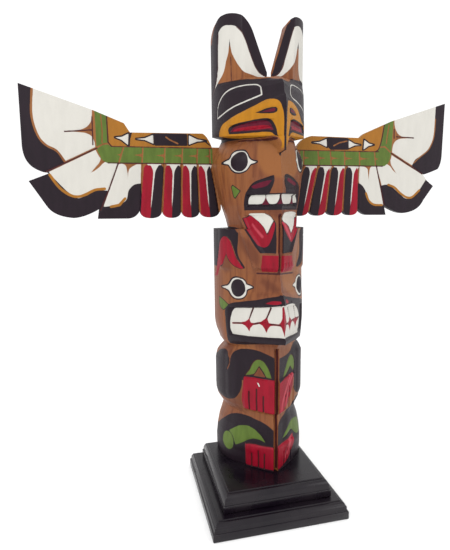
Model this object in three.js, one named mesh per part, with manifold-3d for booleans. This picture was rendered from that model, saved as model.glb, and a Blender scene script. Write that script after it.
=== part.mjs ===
// Totem pole: a carved pole with two painted wings on a stepped plinth.
// Millimetres, +Z up, front towards -Y. The origin lies under the middle of the plinth's depth,
// on the underside, and on the pole's middle in X.
import * as THREE from "three";
import { mergeVertices } from "three/addons/utils/BufferGeometryUtils.js";
import Module from "manifold-3d";

const wasm = await Module();
wasm.setup();

// Shared sizes
const JOINT_GAP = 0.3; // between two pieces that touch
const EDGE_BEVEL = 0.8; // broken wood edges

// Plinth: two square boards with moulded edges, the pole a little right of their middle
const PLINTH_SHIFT = -6.4;
const BOARD_HEIGHT = 17;
const LOWER_SIDE = 131;
const UPPER_SIDE = 106;
const LOWER_EDGE = 7.8; // plain upright edge of the lower board
const UPPER_EDGE = 7.4; // plain upright edge of the upper board
const MOULD_IN = 6.3; // how far each moulding runs in
const MOULD_STEP = 1; // small square steps at both ends of the moulding
const MOULD_TURNS = 5; // facets of the rounded part

// Pole: a squared log, worked to a ridge at the front, flat at the back
const POLE_BOTTOM = 2 * BOARD_HEIGHT + JOINT_GAP;
const POLE_TOP = 468;
const HALF_WIDTH = 45.2;
const BACK_Y = 39.4;
const CORNER_FACE = 25; // rounding of the front corners, along the face
const CORNER_SIDE = 24; // and along the side
const GROOVE_HALF = 4; // groove down the ridge of the lower figures
const GROOVE_DEPTH = 4.5;

// Heights on the ridge where one figure ends and the next begins
const LEGS_TOP = 87.7;
const BODY_TOP = 162;
const JAW_LOW = 170;
const BEAR_TOP = 273.5; // top of the bear's ears
const HANDS_LOW = 234; // lower edge of the second figure's hands
const CHIN = 288;
const HEAD_LOW = 353; // underside of the eagle's head
const BROW_TOP = 403;
const NOTCH_LOW = 411; // bottom of the V between the ears

const EAR_RIDGE = 21.5; // how far forward the faces of the ears would meet
// Height on the ridge and distance forward of the ridge line
const RIDGE = [
  [POLE_BOTTOM, 27], [82, 27.5], [LEGS_TOP, 26.5], [92, 26.5], [94.5, 29.5], [150, 30], [158, 29],
  [BODY_TOP, 29.5], [JAW_LOW - 4, 33], [JAW_LOW - 1.5, 42], [JAW_LOW, 50], [173, 51.6], [190, 50],
  [209, 48.5], [213, 45], [217, 39], [224, 38], [HANDS_LOW - 3, 35], [HANDS_LOW, 37], [CHIN - 3, 39],
  [CHIN, 38], [292, 39], [295, 41.5], [305, 41.5], [316, 39.5], [330, 37], [343, 35],
  [HEAD_LOW - 1.5, 31.5], [HEAD_LOW, 46.5], [378, 48.6], [384, 47], [390, 44.5], [397, 43], [401, 39],
  [405, 31], [NOTCH_LOW, EAR_RIDGE],
];
// Height on the ridge and how far the rings rise for each millimetre along the section
const SLANT = [
  [100, 0], [BODY_TOP, -0.1], [JAW_LOW, -0.14], [205, -0.14], [HANDS_LOW, 0], [330, 0],
  [HEAD_LOW, 0.12], [372, 0.05], [398, 0],
];
// Height on the ridge and how deep the sides are cut in at the corners
const SIDE_CUT = [
  [POLE_BOTTOM, 0.5], [40, 0], [51, 0], [62, 1.2], [73, 3.4], [80, 5.8], [LEGS_TOP, 8.2], [91, 5.2],
  [96.5, 1.8], [103, 0.3], [110, 0], [152, 0], [156, 1.4], [159, 3], [BODY_TOP, 5.5], [165, 3],
  [JAW_LOW, 1.8], [180, 0.8], [190, 0], [BEAR_TOP - 0.5, 0], [BEAR_TOP, 8.2], [282, 7.1], [300, 4.2],
  [318, 1.6], [332, 0], [337, 0.2], [341, 2.4], [345, 5.5], [350, 9.5], [HEAD_LOW - 1.5, 9.5],
  [HEAD_LOW, 0], [POLE_TOP, 0],
];
// Height on the ridge and how much deeper that cut runs at the back
const BACK_CUT = [
  [142, 0.3], [148.5, 1.5], [154.7, 3.2], [158.5, 4.4], [BODY_TOP, 5.1], [168, 4.6], [176, 2.6],
  [181.5, 1], [187, 0.3], [193, 0], [BEAR_TOP - 0.5, 0], [BEAR_TOP, 7], [282, 6], [300, 3], [318, 1],
  [332, 0],
];
const CORNER_Y = 9.8; // where the faces aim, measured back from the middle

// Ears of the eagle in front view, left then right, as distance out and height
const EAR_SHOULDER = [[14.5, 449], [16.5, 456]];
const EAR_BEND = [[20.5, 465], [18.5, 467]];
const EAR_CREST_IN = 8.2; // level crest, measured in from the side of the pole
const EAR_CORNER = 5; // rounding at the outer side
const EAR_FRONT_Y = -4; // flat cut across the ridge at the height of the ears
const EAR_HOLLOW = [[0, -5.5], [40, 28], [42, BACK_Y + 1]]; // outline of the hollow behind them, from above
// Back corners of the ears, seen square to the faces of the pole: distance from the ridge and height
const EAR_TURN = Math.atan2(EAR_RIDGE + CORNER_Y, HALF_WIDTH);
const EAR_BACK_TOP = 56;
const EAR_BACK = [72.5, 450];
const EAR_TURNS = 6; // facets of the curves

// Eagle's beak below the head
const HOOK_LOW = 340;
const HOOK_HALF_TOP = 15;
const HOOK_HALF_LOW = 3.2;
const HOOK_FORWARD = 46.8;

// Wings
const WING_THICKNESS = 6;
const WING_FRONT = BACK_Y + JOINT_GAP;
const WING_INNER = 12; // hidden end behind the pole
const WING_GROOVE = 1.2; // carved lines on the wings
const GROOVE_OVERRUN = 0.9; // and how far their cuts run past their ends
const FEATHER_LOW = 284;
const FEATHER_DIP = 291.5; // where two feather ends meet
const ARM_LOW = 353; // top of the green band, under the arm
const BAND_LOW = 337.5; // lower line of the green band

// Points that differ between the two hand-cut wings, left then right, as distance out and height
const WING_POINTS = {
  tip: [[223.9, 407.3], [224.2, 407.3]],
  tipSide: [[224.2, 352], [223.4, 350]],
  tipLow: [[211, 330], [219, 335]],
  firstEnd: [[204.5, 328.5], [200, 328.8]],
  secondTop: [[202.5, 327.2], [205, 322.3]],
  secondOuter: [[220.5, 320.2], [214, 315.8]],
  secondSide: [[206, 297], [202, 300]],
  secondLow: [[182, 285.3], [176, 285.5]],
  secondInner: [[158.5, 293.5], [151.5, 294.5]],
  thirdCorner: [[160, 284.2], [154, 283.8]],
  thirdLow: [[131, 284], [132, 284]],
  armRise: [[131.5, 375], [126, 372.5]],
  elbow: [[126, 366.5], [120, 367.2]],
  greenTop: [[159.5, 386], [160, 386.8]],
  armEnd: [[55, 367.3], [63, 368]],
  lineOneIn: [[158.5, 350.5], [157.5, 351.5]],
  lineTwoTop: [[138.5, 336.5], [140.5, 338]],
};
const FEATHERS = [[119.5, 97.3, 77.8, 59, 38], [119.5, 100.8, 81, 60.8, 40]];
const FEATHER_TOPS = [[115, 93.8, 76.4, 60.4], [119, 102.5, 85.5, 70]];

// A value that changes evenly between the heights listed
function along(profile, z) {
  if (z <= profile[0][0]) return profile[0][1];
  for (let i = 1; i < profile.length; i++) {
    const [low, from] = profile[i - 1];
    const [high, to] = profile[i];
    if (z <= high) return from + ((to - from) * (z - low)) / (high - low);
  }
  return profile[profile.length - 1][1];
}

// 0 before start, 1 after end, smooth between
function ease(value, start, end) {
  const t = Math.min(1, Math.max(0, (value - start) / (end - start)));
  return t * t * (3 - 2 * t);
}

// 1 between the two limits, easing off over the given width inside them
function band(value, low, high, soft) {
  return ease(value, low, low + soft) * (1 - ease(value, high - soft, high));
}

// Point of the plain section at a height on the ridge; reach is 0 there, 1 to 2 round the corner,
// 3 at the back
function sectionPoint(reach, level) {
  const ridge = new THREE.Vector2(0, -along(RIDGE, level));
  const corner = new THREE.Vector2(HALF_WIDTH, CORNER_Y);
  const face = corner.clone().sub(ridge);
  const start = corner.clone().addScaledVector(face.clone().normalize(), -CORNER_FACE);
  const end = new THREE.Vector2(HALF_WIDTH, corner.y + CORNER_SIDE);
  const back = new THREE.Vector2(HALF_WIDTH, BACK_Y);
  if (reach <= 1) return ridge.lerp(start, reach);
  if (reach <= 2) {
    const t = reach - 1;
    const first = start.lerp(corner, t);
    const second = corner.clone().lerp(end, t);
    return first.lerp(second, t);
  }
  return end.lerp(back, reach - 2);
}

// Lengths along the plain section used to place the columns of the surface
const FACE_LENGTH = 39;
const TURN_LENGTH = 42;
const WALL_LENGTH = 6;
const SECTION_LENGTH = FACE_LENGTH + TURN_LENGTH + WALL_LENGTH; // from the ridge round to the back

function reachOf(s) {
  if (s <= FACE_LENGTH) return s / FACE_LENGTH;
  if (s <= FACE_LENGTH + TURN_LENGTH) return 1 + (s - FACE_LENGTH) / TURN_LENGTH;
  return 2 + (s - FACE_LENGTH - TURN_LENGTH) / WALL_LENGTH;
}

// Carving, in millimetres outward, at a distance s from the ridge and a height z
function carving(s, z) {
  const grooved = z < BODY_TOP - 2 ? 1 : band(z, HANDS_LOW, CHIN - 1, 3);
  const groove = -GROOVE_DEPTH * grooved * (1 - ease(s, 0.6, GROOVE_HALF));
  return groove + bodyCarving(s, z) + bearCarving(s, z) + chestCarving(s, z) + faceCarving(s, z)
    + headCarving(s, z);
}

// Hands on the knees and the toes of the lowest figure
function bodyCarving(s, z) {
  const hands = band(z, 94, 129, 1.6) * (1 - ease(s, 38, 41)) * ease(s, 2, 4);
  const toes = band(z, POLE_BOTTOM - 4, 59.5, 1.6) * (1 - ease(s, 36, 39)) * ease(s, 2, 4);
  const thigh = band(z, 99, 156, 8) * band(s, 40, 62, 8);
  const knee = band(z, 46, 88, 10) * band(s, 12, 62, 12);
  return 1.8 * hands + 1.8 * toes + 1.2 * thigh + 1.2 * knee;
}

// The bear: ears beside the upper figure, round eyes, and teeth sunk between the lips
function bearCarving(s, z) {
  const ear = band(z, 232, BEAR_TOP + 4, 4) * band(s, 42, 72, 9);
  const eye = Math.max(0, 1 - Math.hypot(s - 43.5, z - 217) / 11);
  const mouthLow = 175.5 - 0.11 * s;
  const mouthHigh = 204 - 0.16 * s;
  const mouth = band(z, mouthLow - 1.5, mouthHigh + 1.5, 2) * (1 - ease(s, 52, 55));
  return 1.3 * ear + 2 * ease(eye, 0, 1) - 2.4 * mouth;
}

// Chest and arms of the second figure, standing out and narrowing down to the hands
function chestCarving(s, z) {
  const edge = 23 + 0.4 * (z - HANDS_LOW);
  const breastEdge = 15.5 + 0.73 * (z - 250);
  const chest = band(z, HANDS_LOW - 1, 300, 6) * (1 - ease(s, edge, edge + 5)) * (1 - ease(z, 276, 296));
  const breast = band(z, 250, CHIN - 1, 2.5) * (1 - ease(s, breastEdge - 3, breastEdge));
  return 4 * chest * (1 - 0.5 * ease(s, 15, 40)) - 1.8 * breast;
}

// Face of the second figure: eyes, nostrils and an open mouth
function faceCarving(s, z) {
  const eye = Math.max(0, 1 - Math.hypot(s - 41.5, z - 335.5) / 12);
  const nose = band(z, 306, 321, 4) * (1 - ease(s, 26, 33));
  const mouth = band(z, 293.5, 305, 1.6) * (1 - ease(s, 34, 37));
  return 2 * ease(eye, 0, 1) + 1.5 * nose - 2.5 * mouth;
}

// Head of the eagle: beak, mouth slit and the hollow of the ears
function headCarving(s, z) {
  const beakTop = 386.5 - 0.27 * s - 0.65 * Math.max(0, s - 48);
  const beak = ease(z, HEAD_LOW - 0.5, HEAD_LOW) * (1 - ease(z, beakTop, beakTop + 2));
  const mouth = band(z, 361.5, 368.5, 1.4) * band(s, 8, 51, 3);
  const hollow = band(s, 32, 66, 14) * (1 - ease(z, 416, 446)) * ease(z, BROW_TOP + 4, BROW_TOP + 7);
  return 1.6 * beak * (1 - ease(s, 34, 62)) - 2 * mouth - 2.5 * hollow;
}

// Surface point of the carved pole, side = -1 left, 1 right, level = its ring's height on the ridge
function polePoint(side, s, level) {
  const reach = reachOf(s);
  const step = 0.02;
  const z = level + along(SLANT, level) * s;
  const here = sectionPoint(reach, level);
  const before = sectionPoint(Math.max(0, reach - step), level);
  const after = sectionPoint(Math.min(3, reach + step), level);
  const run = after.sub(before).normalize();
  const outward = new THREE.Vector2(0, -1).lerp(new THREE.Vector2(run.y, -run.x), ease(s, 2, 14));
  const cut = along(SIDE_CUT, level) * ease(s, 22, 58) + along(BACK_CUT, level) * ease(s, 62, 84);
  const point = here.addScaledVector(outward, carving(s, z));
  point.x = Math.max(0, point.x - cut);
  if (level > HOOK_LOW && level < HEAD_LOW) hook(point, s, level);
  const front = EAR_FRONT_Y - (1 - ease(z, BROW_TOP, NOTCH_LOW)) * 36;
  if (z > BROW_TOP) point.y = Math.max(point.y, front);
  point.y = Math.min(point.y, BACK_Y);
  return new THREE.Vector3(side * point.x, point.y, z);
}

// The beak hooks down in front of the second figure's forehead
function hook(point, s, level) {
  const down = (level - HOOK_LOW) / (HEAD_LOW - HOOK_LOW);
  const half = HOOK_HALF_LOW + (HOOK_HALF_TOP - HOOK_HALF_LOW) * down * down;
  const beakY = -HOOK_FORWARD + s * Math.SQRT1_2 - 1.6;
  point.y += Math.min(0, beakY - point.y) * (1 - ease(s, half - 2, half));
}

// Joins rings of points into a closed solid with flat ends
function ringSolid(rings) {
  const count = rings[0].length;
  const positions = rings.flat().flatMap((p) => [p.x, p.y, p.z]);
  const middle = (ring) => ring.reduce((sum, p) => sum.add(p), new THREE.Vector3()).divideScalar(count);
  const bottom = middle(rings[0]);
  const top = middle(rings[rings.length - 1]);
  const bottomIndex = rings.length * count;
  positions.push(bottom.x, bottom.y, rings[0][0].z, top.x, top.y, rings[rings.length - 1][0].z);
  const faces = [];
  for (let row = 0; row + 1 < rings.length; row++) {
    for (let i = 0; i < count; i++) {
      const a = row * count + i;
      const b = row * count + ((i + 1) % count);
      faces.push(a, b, b + count, a, b + count, a + count);
    }
  }
  const last = (rings.length - 1) * count;
  for (let i = 0; i < count; i++) {
    const next = (i + 1) % count;
    faces.push(bottomIndex, next, i, bottomIndex + 1, last + i, last + next);
  }
  const geometry = new THREE.BufferGeometry();
  geometry.setAttribute("position", new THREE.Float32BufferAttribute(positions, 3));
  geometry.setIndex(faces);
  return geometry;
}

function toManifold(geometry) {
  const plain = geometry.clone();
  plain.deleteAttribute("normal");
  plain.deleteAttribute("uv");
  const merged = mergeVertices(plain, 1e-4);
  return new wasm.Manifold(new wasm.Mesh({
    numProp: 3,
    vertProperties: new Float32Array(merged.attributes.position.array),
    triVerts: new Uint32Array(merged.index.array),
  }));
}

function toMesh(solid, name, color) {
  const data = solid.getMesh();
  const geometry = new THREE.BufferGeometry();
  geometry.setAttribute("position", new THREE.Float32BufferAttribute(data.vertProperties, 3));
  geometry.setIndex(Array.from(data.triVerts));
  geometry.computeVertexNormals();
  const mesh = new THREE.Mesh(geometry, new THREE.MeshStandardMaterial({ color, roughness: 0.6 }));
  mesh.name = name;
  return mesh;
}

// A flat shape of the front view, given depth from front to back
function frontPlate(shape, front, back, turns) {
  const geometry = new THREE.ExtrudeGeometry(shape, {
    depth: back - front, bevelEnabled: false, curveSegments: turns,
  });
  geometry.rotateX(Math.PI / 2);
  geometry.translate(0, back, 0);
  return toManifold(geometry);
}

// A square board with a moulded edge, from its half side and height up the profile
function mouldedBoard(side, low, edge, high) {
  const half = side / 2;
  const profile = [[half - EDGE_BEVEL, low], [half, low + EDGE_BEVEL], [half, low + edge]];
  const rise = high - low - edge - MOULD_STEP;
  profile.push([half - MOULD_STEP, low + edge]);
  const run = MOULD_IN - 2 * MOULD_STEP;
  for (let i = 1; i <= MOULD_TURNS; i++) {
    const turn = (i / MOULD_TURNS) * (Math.PI / 2);
    profile.push([half - MOULD_STEP - run * (1 - Math.cos(turn)), low + edge + rise * Math.sin(turn)]);
  }
  profile.push([half - MOULD_IN, high - MOULD_STEP], [half - MOULD_IN, high]);
  const corners = [[-1, -1], [1, -1], [1, 1], [-1, 1]];
  const rings = profile.map(([reach, z]) =>
    corners.map(([x, y]) => new THREE.Vector3(PLINTH_SHIFT + x * reach, y * reach, z)));
  return toManifold(ringSolid(rings));
}

// Outline of one ear and all that lies under it, in front view
function earOutline(hand) {
  const shape = new THREE.Shape();
  const under = POLE_BOTTOM - 1;
  const outside = HALF_WIDTH + 2;
  shape.moveTo(0, under);
  shape.lineTo(outside, under);
  shape.lineTo(outside, EAR_BACK[1]);
  shape.lineTo(HALF_WIDTH, EAR_BACK[1]);
  shape.quadraticCurveTo(HALF_WIDTH, POLE_TOP, HALF_WIDTH - EAR_CORNER, POLE_TOP);
  shape.lineTo(HALF_WIDTH - EAR_CREST_IN, POLE_TOP);
  shape.quadraticCurveTo(...EAR_BEND[hand], ...EAR_SHOULDER[hand]);
  shape.lineTo(0, NOTCH_LOW);
  return shape;
}

// Outline that rounds the back corner of an ear, seen square to its face
function earBackOutline() {
  const shape = new THREE.Shape();
  const under = POLE_BOTTOM - 1;
  const far = 2 * HALF_WIDTH;
  shape.moveTo(-far, under);
  shape.lineTo(far, under);
  shape.lineTo(far, EAR_BACK[1] - 1);
  shape.lineTo(...EAR_BACK);
  shape.quadraticCurveTo(EAR_BACK[0] - 2, POLE_TOP, EAR_BACK_TOP, POLE_TOP);
  shape.lineTo(-far, POLE_TOP);
  return shape;
}

function carvedPole() {
  const sharp = [
    LEGS_TOP - 4, LEGS_TOP, 90, 92, 94, 95.6, 127.5, 129, 156, 159, BODY_TOP, 165, JAW_LOW - 4,
    JAW_LOW - 1.5, JAW_LOW, 173, 174.5, 176.5, 203, 205.5, 209, 213, 217, HANDS_LOW - 3, HANDS_LOW,
    237, BEAR_TOP - 0.5, BEAR_TOP, CHIN - 3, CHIN, 293.5, 295, 303.5, 305, 321, HOOK_LOW - 0.5, HOOK_LOW,
    345, 350, HEAD_LOW - 1.5, HEAD_LOW, 359, 361.3, 366, 368.5, 378, 384, 390, 397, BROW_TOP, 407,
    NOTCH_LOW, POLE_TOP + 1,
  ];
  const evenStep = 8;
  const nearest = 2.2;
  const heights = [...sharp];
  for (let z = POLE_BOTTOM; z < POLE_TOP; z += evenStep) {
    if (sharp.every((edge) => Math.abs(edge - z) > nearest)) heights.push(z);
  }
  heights.sort((a, b) => a - b);
  const columns = [0, 1.5, 3, 4.2, 8, 13, 18, 23, 28, 32, 36, 40, 44.5, 48, 52, 56, 61, 66, 73, 80]
    .filter((s) => s < SECTION_LENGTH - nearest);
  columns.push(SECTION_LENGTH);
  const rings = heights.map((level) => {
    const left = columns.slice(1).reverse().map((s) => polePoint(-1, s, level));
    const right = columns.map((s) => polePoint(1, s, level));
    return [...left, ...right];
  });
  const depth = 3 * HALF_WIDTH;
  const outline = frontPlate(earOutline(0), -depth, depth, EAR_TURNS).mirror([1, 0, 0])
    .add(frontPlate(earOutline(1), -depth, depth, EAR_TURNS));
  const backCorner = frontPlate(earBackOutline(), -depth, depth, EAR_TURNS)
    .rotate([0, 0, THREE.MathUtils.radToDeg(EAR_TURN)]).translate([0, -EAR_RIDGE, 0]);
  const mirrored = EAR_HOLLOW.slice(1).reverse().map(([x, y]) => [-x, y]);
  const hollow = new THREE.Shape([...EAR_HOLLOW, ...mirrored].map(([x, y]) => new THREE.Vector2(x, y)));
  const hollowTool = new THREE.ExtrudeGeometry(hollow, { depth: 80, bevelEnabled: false });
  hollowTool.translate(0, 0, NOTCH_LOW);
  return toManifold(ringSolid(rings)).intersect(outline).intersect(backCorner)
    .intersect(backCorner.mirror([1, 0, 0])).subtract(toManifold(hollowTool));
}

// One wing in front view; hand = 0 left, 1 right, x is the distance out from the pole's middle
function wingShape(hand) {
  const at = (name) => WING_POINTS[name][hand];
  const feathers = FEATHERS[hand];
  const shape = new THREE.Shape();
  const inner = feathers[feathers.length - 1];
  shape.moveTo(WING_INNER, ARM_LOW + 1);
  shape.lineTo(WING_INNER, 300);
  shape.lineTo(inner - 1, 300);
  shape.lineTo(inner - 1, FEATHER_DIP + 1);
  for (let i = feathers.length - 1; i > 0; i--) {
    const from = feathers[i];
    const to = feathers[i - 1];
    const middle = (from + to) / 2;
    if (i < feathers.length - 1) shape.lineTo(from, FEATHER_DIP);
    shape.quadraticCurveTo(from + 1, FEATHER_LOW, middle, FEATHER_LOW);
    shape.quadraticCurveTo(to - 1, FEATHER_LOW, to, FEATHER_DIP);
  }
  shape.quadraticCurveTo(at("thirdLow")[0] - 8, FEATHER_LOW + 0.5, ...at("thirdLow"));
  shape.lineTo(...at("thirdCorner"));
  shape.lineTo(...at("secondInner"));
  shape.quadraticCurveTo(at("secondLow")[0] - 10, at("secondLow")[1] + 0.5, ...at("secondLow"));
  shape.quadraticCurveTo(at("secondSide")[0] - 6, at("secondLow")[1] + 1.5, ...at("secondSide"));
  shape.lineTo(...at("secondOuter"));
  shape.lineTo(...at("secondTop"));
  shape.lineTo(...at("firstEnd"));
  shape.quadraticCurveTo(at("firstEnd")[0] + 2, at("firstEnd")[1] - 0.4, ...at("tipLow"));
  shape.quadraticCurveTo(at("tipSide")[0] - 0.5, at("tipLow")[1] + 5, ...at("tipSide"));
  shape.lineTo(...at("tip"));
  shape.lineTo(...at("greenTop"));
  shape.lineTo(...at("armRise"));
  shape.quadraticCurveTo(at("elbow")[0] + 2, at("elbow")[1] + 3, ...at("elbow"));
  shape.lineTo(...at("armEnd"));
  shape.quadraticCurveTo(50, at("armEnd")[1] - 2, 45.5, ARM_LOW + 1);
  return shape;
}

// A V-shaped carved line along the front of a wing
function wingGroove(from, to, width) {
  const start = new THREE.Vector2(...from);
  const end = new THREE.Vector2(...to);
  const run = end.clone().sub(start);
  const shape = new THREE.Shape([
    new THREE.Vector2(-width / 2, 0.5), new THREE.Vector2(0, -WING_GROOVE), new THREE.Vector2(width / 2, 0.5),
  ]);
  const length = run.length() + 2 * GROOVE_OVERRUN;
  const bar = new THREE.ExtrudeGeometry(shape, { depth: length, bevelEnabled: false });
  bar.translate(0, 0, -GROOVE_OVERRUN);
  const along3 = new THREE.Vector3(run.x, 0, run.y).normalize();
  const out = new THREE.Vector3(0, -1, 0);
  const across = new THREE.Vector3().crossVectors(out, along3);
  bar.applyMatrix4(new THREE.Matrix4().makeBasis(across, out, along3));
  bar.translate(start.x, WING_FRONT, start.y);
  return toManifold(bar);
}

function wing(hand) {
  const at = (name) => WING_POINTS[name][hand];
  let solid = frontPlate(wingShape(hand), WING_FRONT, WING_FRONT + WING_THICKNESS, 4);
  const lines = [
    [at("firstEnd"), at("lineOneIn"), 2],
    [at("lineTwoTop"), at("secondInner"), 2],
    [[46, ARM_LOW], [143, ARM_LOW], 1.4],
    [[46, BAND_LOW], [148, BAND_LOW], 1.4],
    [[147, 357], [147, 381], 1.4],
  ];
  FEATHER_TOPS[hand].forEach((x, i) => lines.push([[FEATHERS[hand][i], FEATHER_DIP], [x, BAND_LOW - 0.5], 2.2]));
  for (const [from, to, width] of lines) solid = solid.subtract(wingGroove(from, to, width));
  return hand === 0 ? solid.mirror([1, 0, 0]) : solid;
}

const WOOD = 0x9a5c34;
const PAINTED = 0xb98646;
const BLACK = 0x1c1a1e;

const group = new THREE.Group();
group.name = "totem_pole";
group.add(
  toMesh(mouldedBoard(LOWER_SIDE, 0, LOWER_EDGE, BOARD_HEIGHT - JOINT_GAP), "plinth_lower", BLACK),
  toMesh(mouldedBoard(UPPER_SIDE, BOARD_HEIGHT, UPPER_EDGE, 2 * BOARD_HEIGHT), "plinth_upper", BLACK),
  toMesh(carvedPole(), "pole", WOOD),
  toMesh(wing(0), "wing_left", PAINTED),
  toMesh(wing(1), "wing_right", PAINTED),
);

export default group;
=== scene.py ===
import math
import bpy
import numpy as np
from mathutils import Matrix, Vector, kdtree


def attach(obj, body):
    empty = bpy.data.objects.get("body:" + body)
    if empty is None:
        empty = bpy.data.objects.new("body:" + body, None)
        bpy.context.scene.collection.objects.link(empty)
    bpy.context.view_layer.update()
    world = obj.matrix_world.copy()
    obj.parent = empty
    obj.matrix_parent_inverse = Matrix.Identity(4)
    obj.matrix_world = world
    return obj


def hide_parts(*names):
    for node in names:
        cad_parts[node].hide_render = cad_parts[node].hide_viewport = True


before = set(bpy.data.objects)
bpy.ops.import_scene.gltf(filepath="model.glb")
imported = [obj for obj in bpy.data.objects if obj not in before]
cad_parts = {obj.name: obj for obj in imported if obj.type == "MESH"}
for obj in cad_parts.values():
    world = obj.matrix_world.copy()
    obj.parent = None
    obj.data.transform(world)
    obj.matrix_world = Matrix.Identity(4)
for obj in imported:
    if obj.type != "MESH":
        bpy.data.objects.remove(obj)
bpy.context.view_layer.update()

mm = 0.001
roundAngle = math.radians(38)  # edges sharper than this stay sharp
print("frame loaded")


def deselectAll():
    if bpy.context.object and bpy.context.object.mode != "OBJECT":
        bpy.ops.object.mode_set(mode="OBJECT")
    bpy.ops.object.select_all(action="DESELECT")


def makeActive(obj):
    deselectAll()
    obj.select_set(True)
    bpy.context.view_layer.objects.active = obj


def onAllFaces(obj, operation, **settings):
    makeActive(obj)
    bpy.ops.object.mode_set(mode="EDIT")
    bpy.ops.mesh.select_all(action="SELECT")
    operation(**settings)
    bpy.ops.object.mode_set(mode="OBJECT")


def faceOutward(obj):
    onAllFaces(obj, bpy.ops.mesh.normals_make_consistent, inside=False)


def readPoints(mesh):
    points = np.empty(len(mesh.vertices) * 3)
    mesh.vertices.foreach_get("co", points)
    return points.reshape(-1, 3)


def writePoints(mesh, points):
    mesh.vertices.foreach_set("co", np.ascontiguousarray(points, dtype=np.float32).ravel())
    mesh.update()


def along(profile, height):
    table = np.array(profile, float)
    return np.interp(height, table[:, 0], table[:, 1])


def ease(value, start, end):
    t = np.clip((value - start) / (end - start), 0, 1)
    return t * t * (3 - 2 * t)


def band(value, low, high, soft):
    return ease(value, low, low + soft) * (1 - ease(value, high - soft, high))


def curveTo(points, control, end, turns=10):
    start, control, end = (np.array(point, float) for point in (points[-1], control, end))
    for i in range(1, turns + 1):
        t = i / turns
        points.append(tuple((1 - t) ** 2 * start + 2 * t * (1 - t) * control + t * t * end))


view = {
    "place": (-0.1422, -0.41999, 0.2893),
    "turn": 13.296,  # degrees to the right
    "down": 7.94,
    "tilt": -0.73,
    "lens": 29.573, "sensor": 36, "nearest": 0.01,
}
studio = {
    "world": 1.1,
    "floor": {"size": 12, "tone": (0.96, 0.96, 0.96, 1), "rough": 0.9, "specular": 0.1},
    "aim": (0, 0, 0.25),
    "keyLight": {"place": (-0.9, -1.2, 1.3), "size": 0.9, "power": 16},
    "fillLight": {"place": (1.3, -0.9, 0.7), "size": 1.0, "power": 5},
}


def addCamera():
    turn, down, tilt = (math.radians(view[key]) for key in ("turn", "down", "tilt"))
    forward = Vector((math.sin(turn) * math.cos(down), math.cos(turn) * math.cos(down), -math.sin(down)))
    level = Vector((math.cos(turn), -math.sin(turn), 0))
    upright = level.cross(forward)
    right = math.cos(tilt) * level + math.sin(tilt) * upright
    up = -math.sin(tilt) * level + math.cos(tilt) * upright
    bpy.ops.object.camera_add()
    camera = bpy.context.object
    camera.name = "camera"
    camera.data.lens = view["lens"]
    camera.data.sensor_width = view["sensor"]
    camera.data.clip_start = view["nearest"]
    turned = Matrix((right, up, -forward)).transposed().to_4x4()
    camera.matrix_world = Matrix.Translation(Vector(view["place"])) @ turned
    bpy.context.scene.camera = camera


def addLight(name, place, size, power):
    bpy.ops.object.light_add(type="AREA", location=place)
    light = bpy.context.object
    light.name = name
    light.data.shape = "DISK"
    light.data.size = size
    light.data.energy = power
    towards = Vector(studio["aim"]) - Vector(place)
    light.rotation_euler = towards.to_track_quat("-Z", "Y").to_euler()


def addFloor(size, tone, rough, specular):
    bpy.ops.mesh.primitive_plane_add(size=size)
    floor = bpy.context.object
    floor.name = "floor"
    material = bpy.data.materials.new("palePaper")
    material.use_nodes = True
    shader = material.node_tree.nodes["Principled BSDF"]
    shader.inputs["Base Color"].default_value = tone
    shader.inputs["Roughness"].default_value = rough
    shader.inputs["Specular IOR Level"].default_value = specular
    floor.data.materials.append(material)


def addWorld():
    world = bpy.data.worlds.new("studio")
    world.use_nodes = True
    background = world.node_tree.nodes["Background"]
    background.inputs["Color"].default_value = (1, 1, 1, 1)
    background.inputs["Strength"].default_value = studio["world"]
    bpy.context.scene.world = world


deselectAll()
addCamera()
addWorld()
for lightName in ("keyLight", "fillLight"):
    addLight(lightName, **studio[lightName])
addFloor(**studio["floor"])
bpy.context.scene.view_settings.view_transform = "Standard"
print("camera, lights and floor ready")


# Paint is kept as signed distances in millimetres to painted outlines, positive inside.
layerNames = ["black", "white", "yellow", "ink", "red", "green", "bare", "wine", "line"]
softNames = ["gold", "paintedShade", "redHighlight"]  # these fade at their edges: pale gold stain, dark painted shade, painted highlight on the red
farAway = 4.0
cornerLimit = 0.62  # the cosine of the sharpest turn that is still rounded
handleLimit = 1.2  # how far a point's tangent may reach, in chords
curveSteps = 4


def turnsSharply(before, here, after):
    first = here - before
    second = after - here
    first = first / (np.hypot(*first) + 1e-9)
    second = second / (np.hypot(*second) + 1e-9)
    return float(first @ second) < cornerLimit


def handle(run, length):
    return run * min(1.0, handleLimit * length / (np.hypot(*run) + 1e-9))


def smoothOutline(outline, closed):
    # a rounded run through the points; a sharp turn stays a corner
    points = np.array(outline, float)
    count = len(points)
    if count < 4:
        return points
    ends = () if closed else (0, count - 1)
    corner = [i in ends or turnsSharply(points[i - 1], points[i], points[(i + 1) % count])
              for i in range(count)]
    result = []
    for i in range(count if closed else count - 1):
        j = (i + 1) % count
        start, end = points[i], points[j]
        chord = end - start
        length = np.hypot(*chord)
        leave = handle(chord if corner[i] else (end - points[i - 1]) * 0.5, length)
        arrive = handle(chord if corner[j] else (points[(j + 1) % count] - start) * 0.5, length)
        for t in np.arange(curveSteps) / curveSteps:
            a = 2 * t ** 3 - 3 * t ** 2 + 1
            b = t ** 3 - 2 * t ** 2 + t
            c = -2 * t ** 3 + 3 * t ** 2
            d = t ** 3 - t ** 2
            result.append(a * start + b * leave + c * end + d * arrive)
    if not closed:
        result.append(points[-1])
    return np.array(result)


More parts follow.
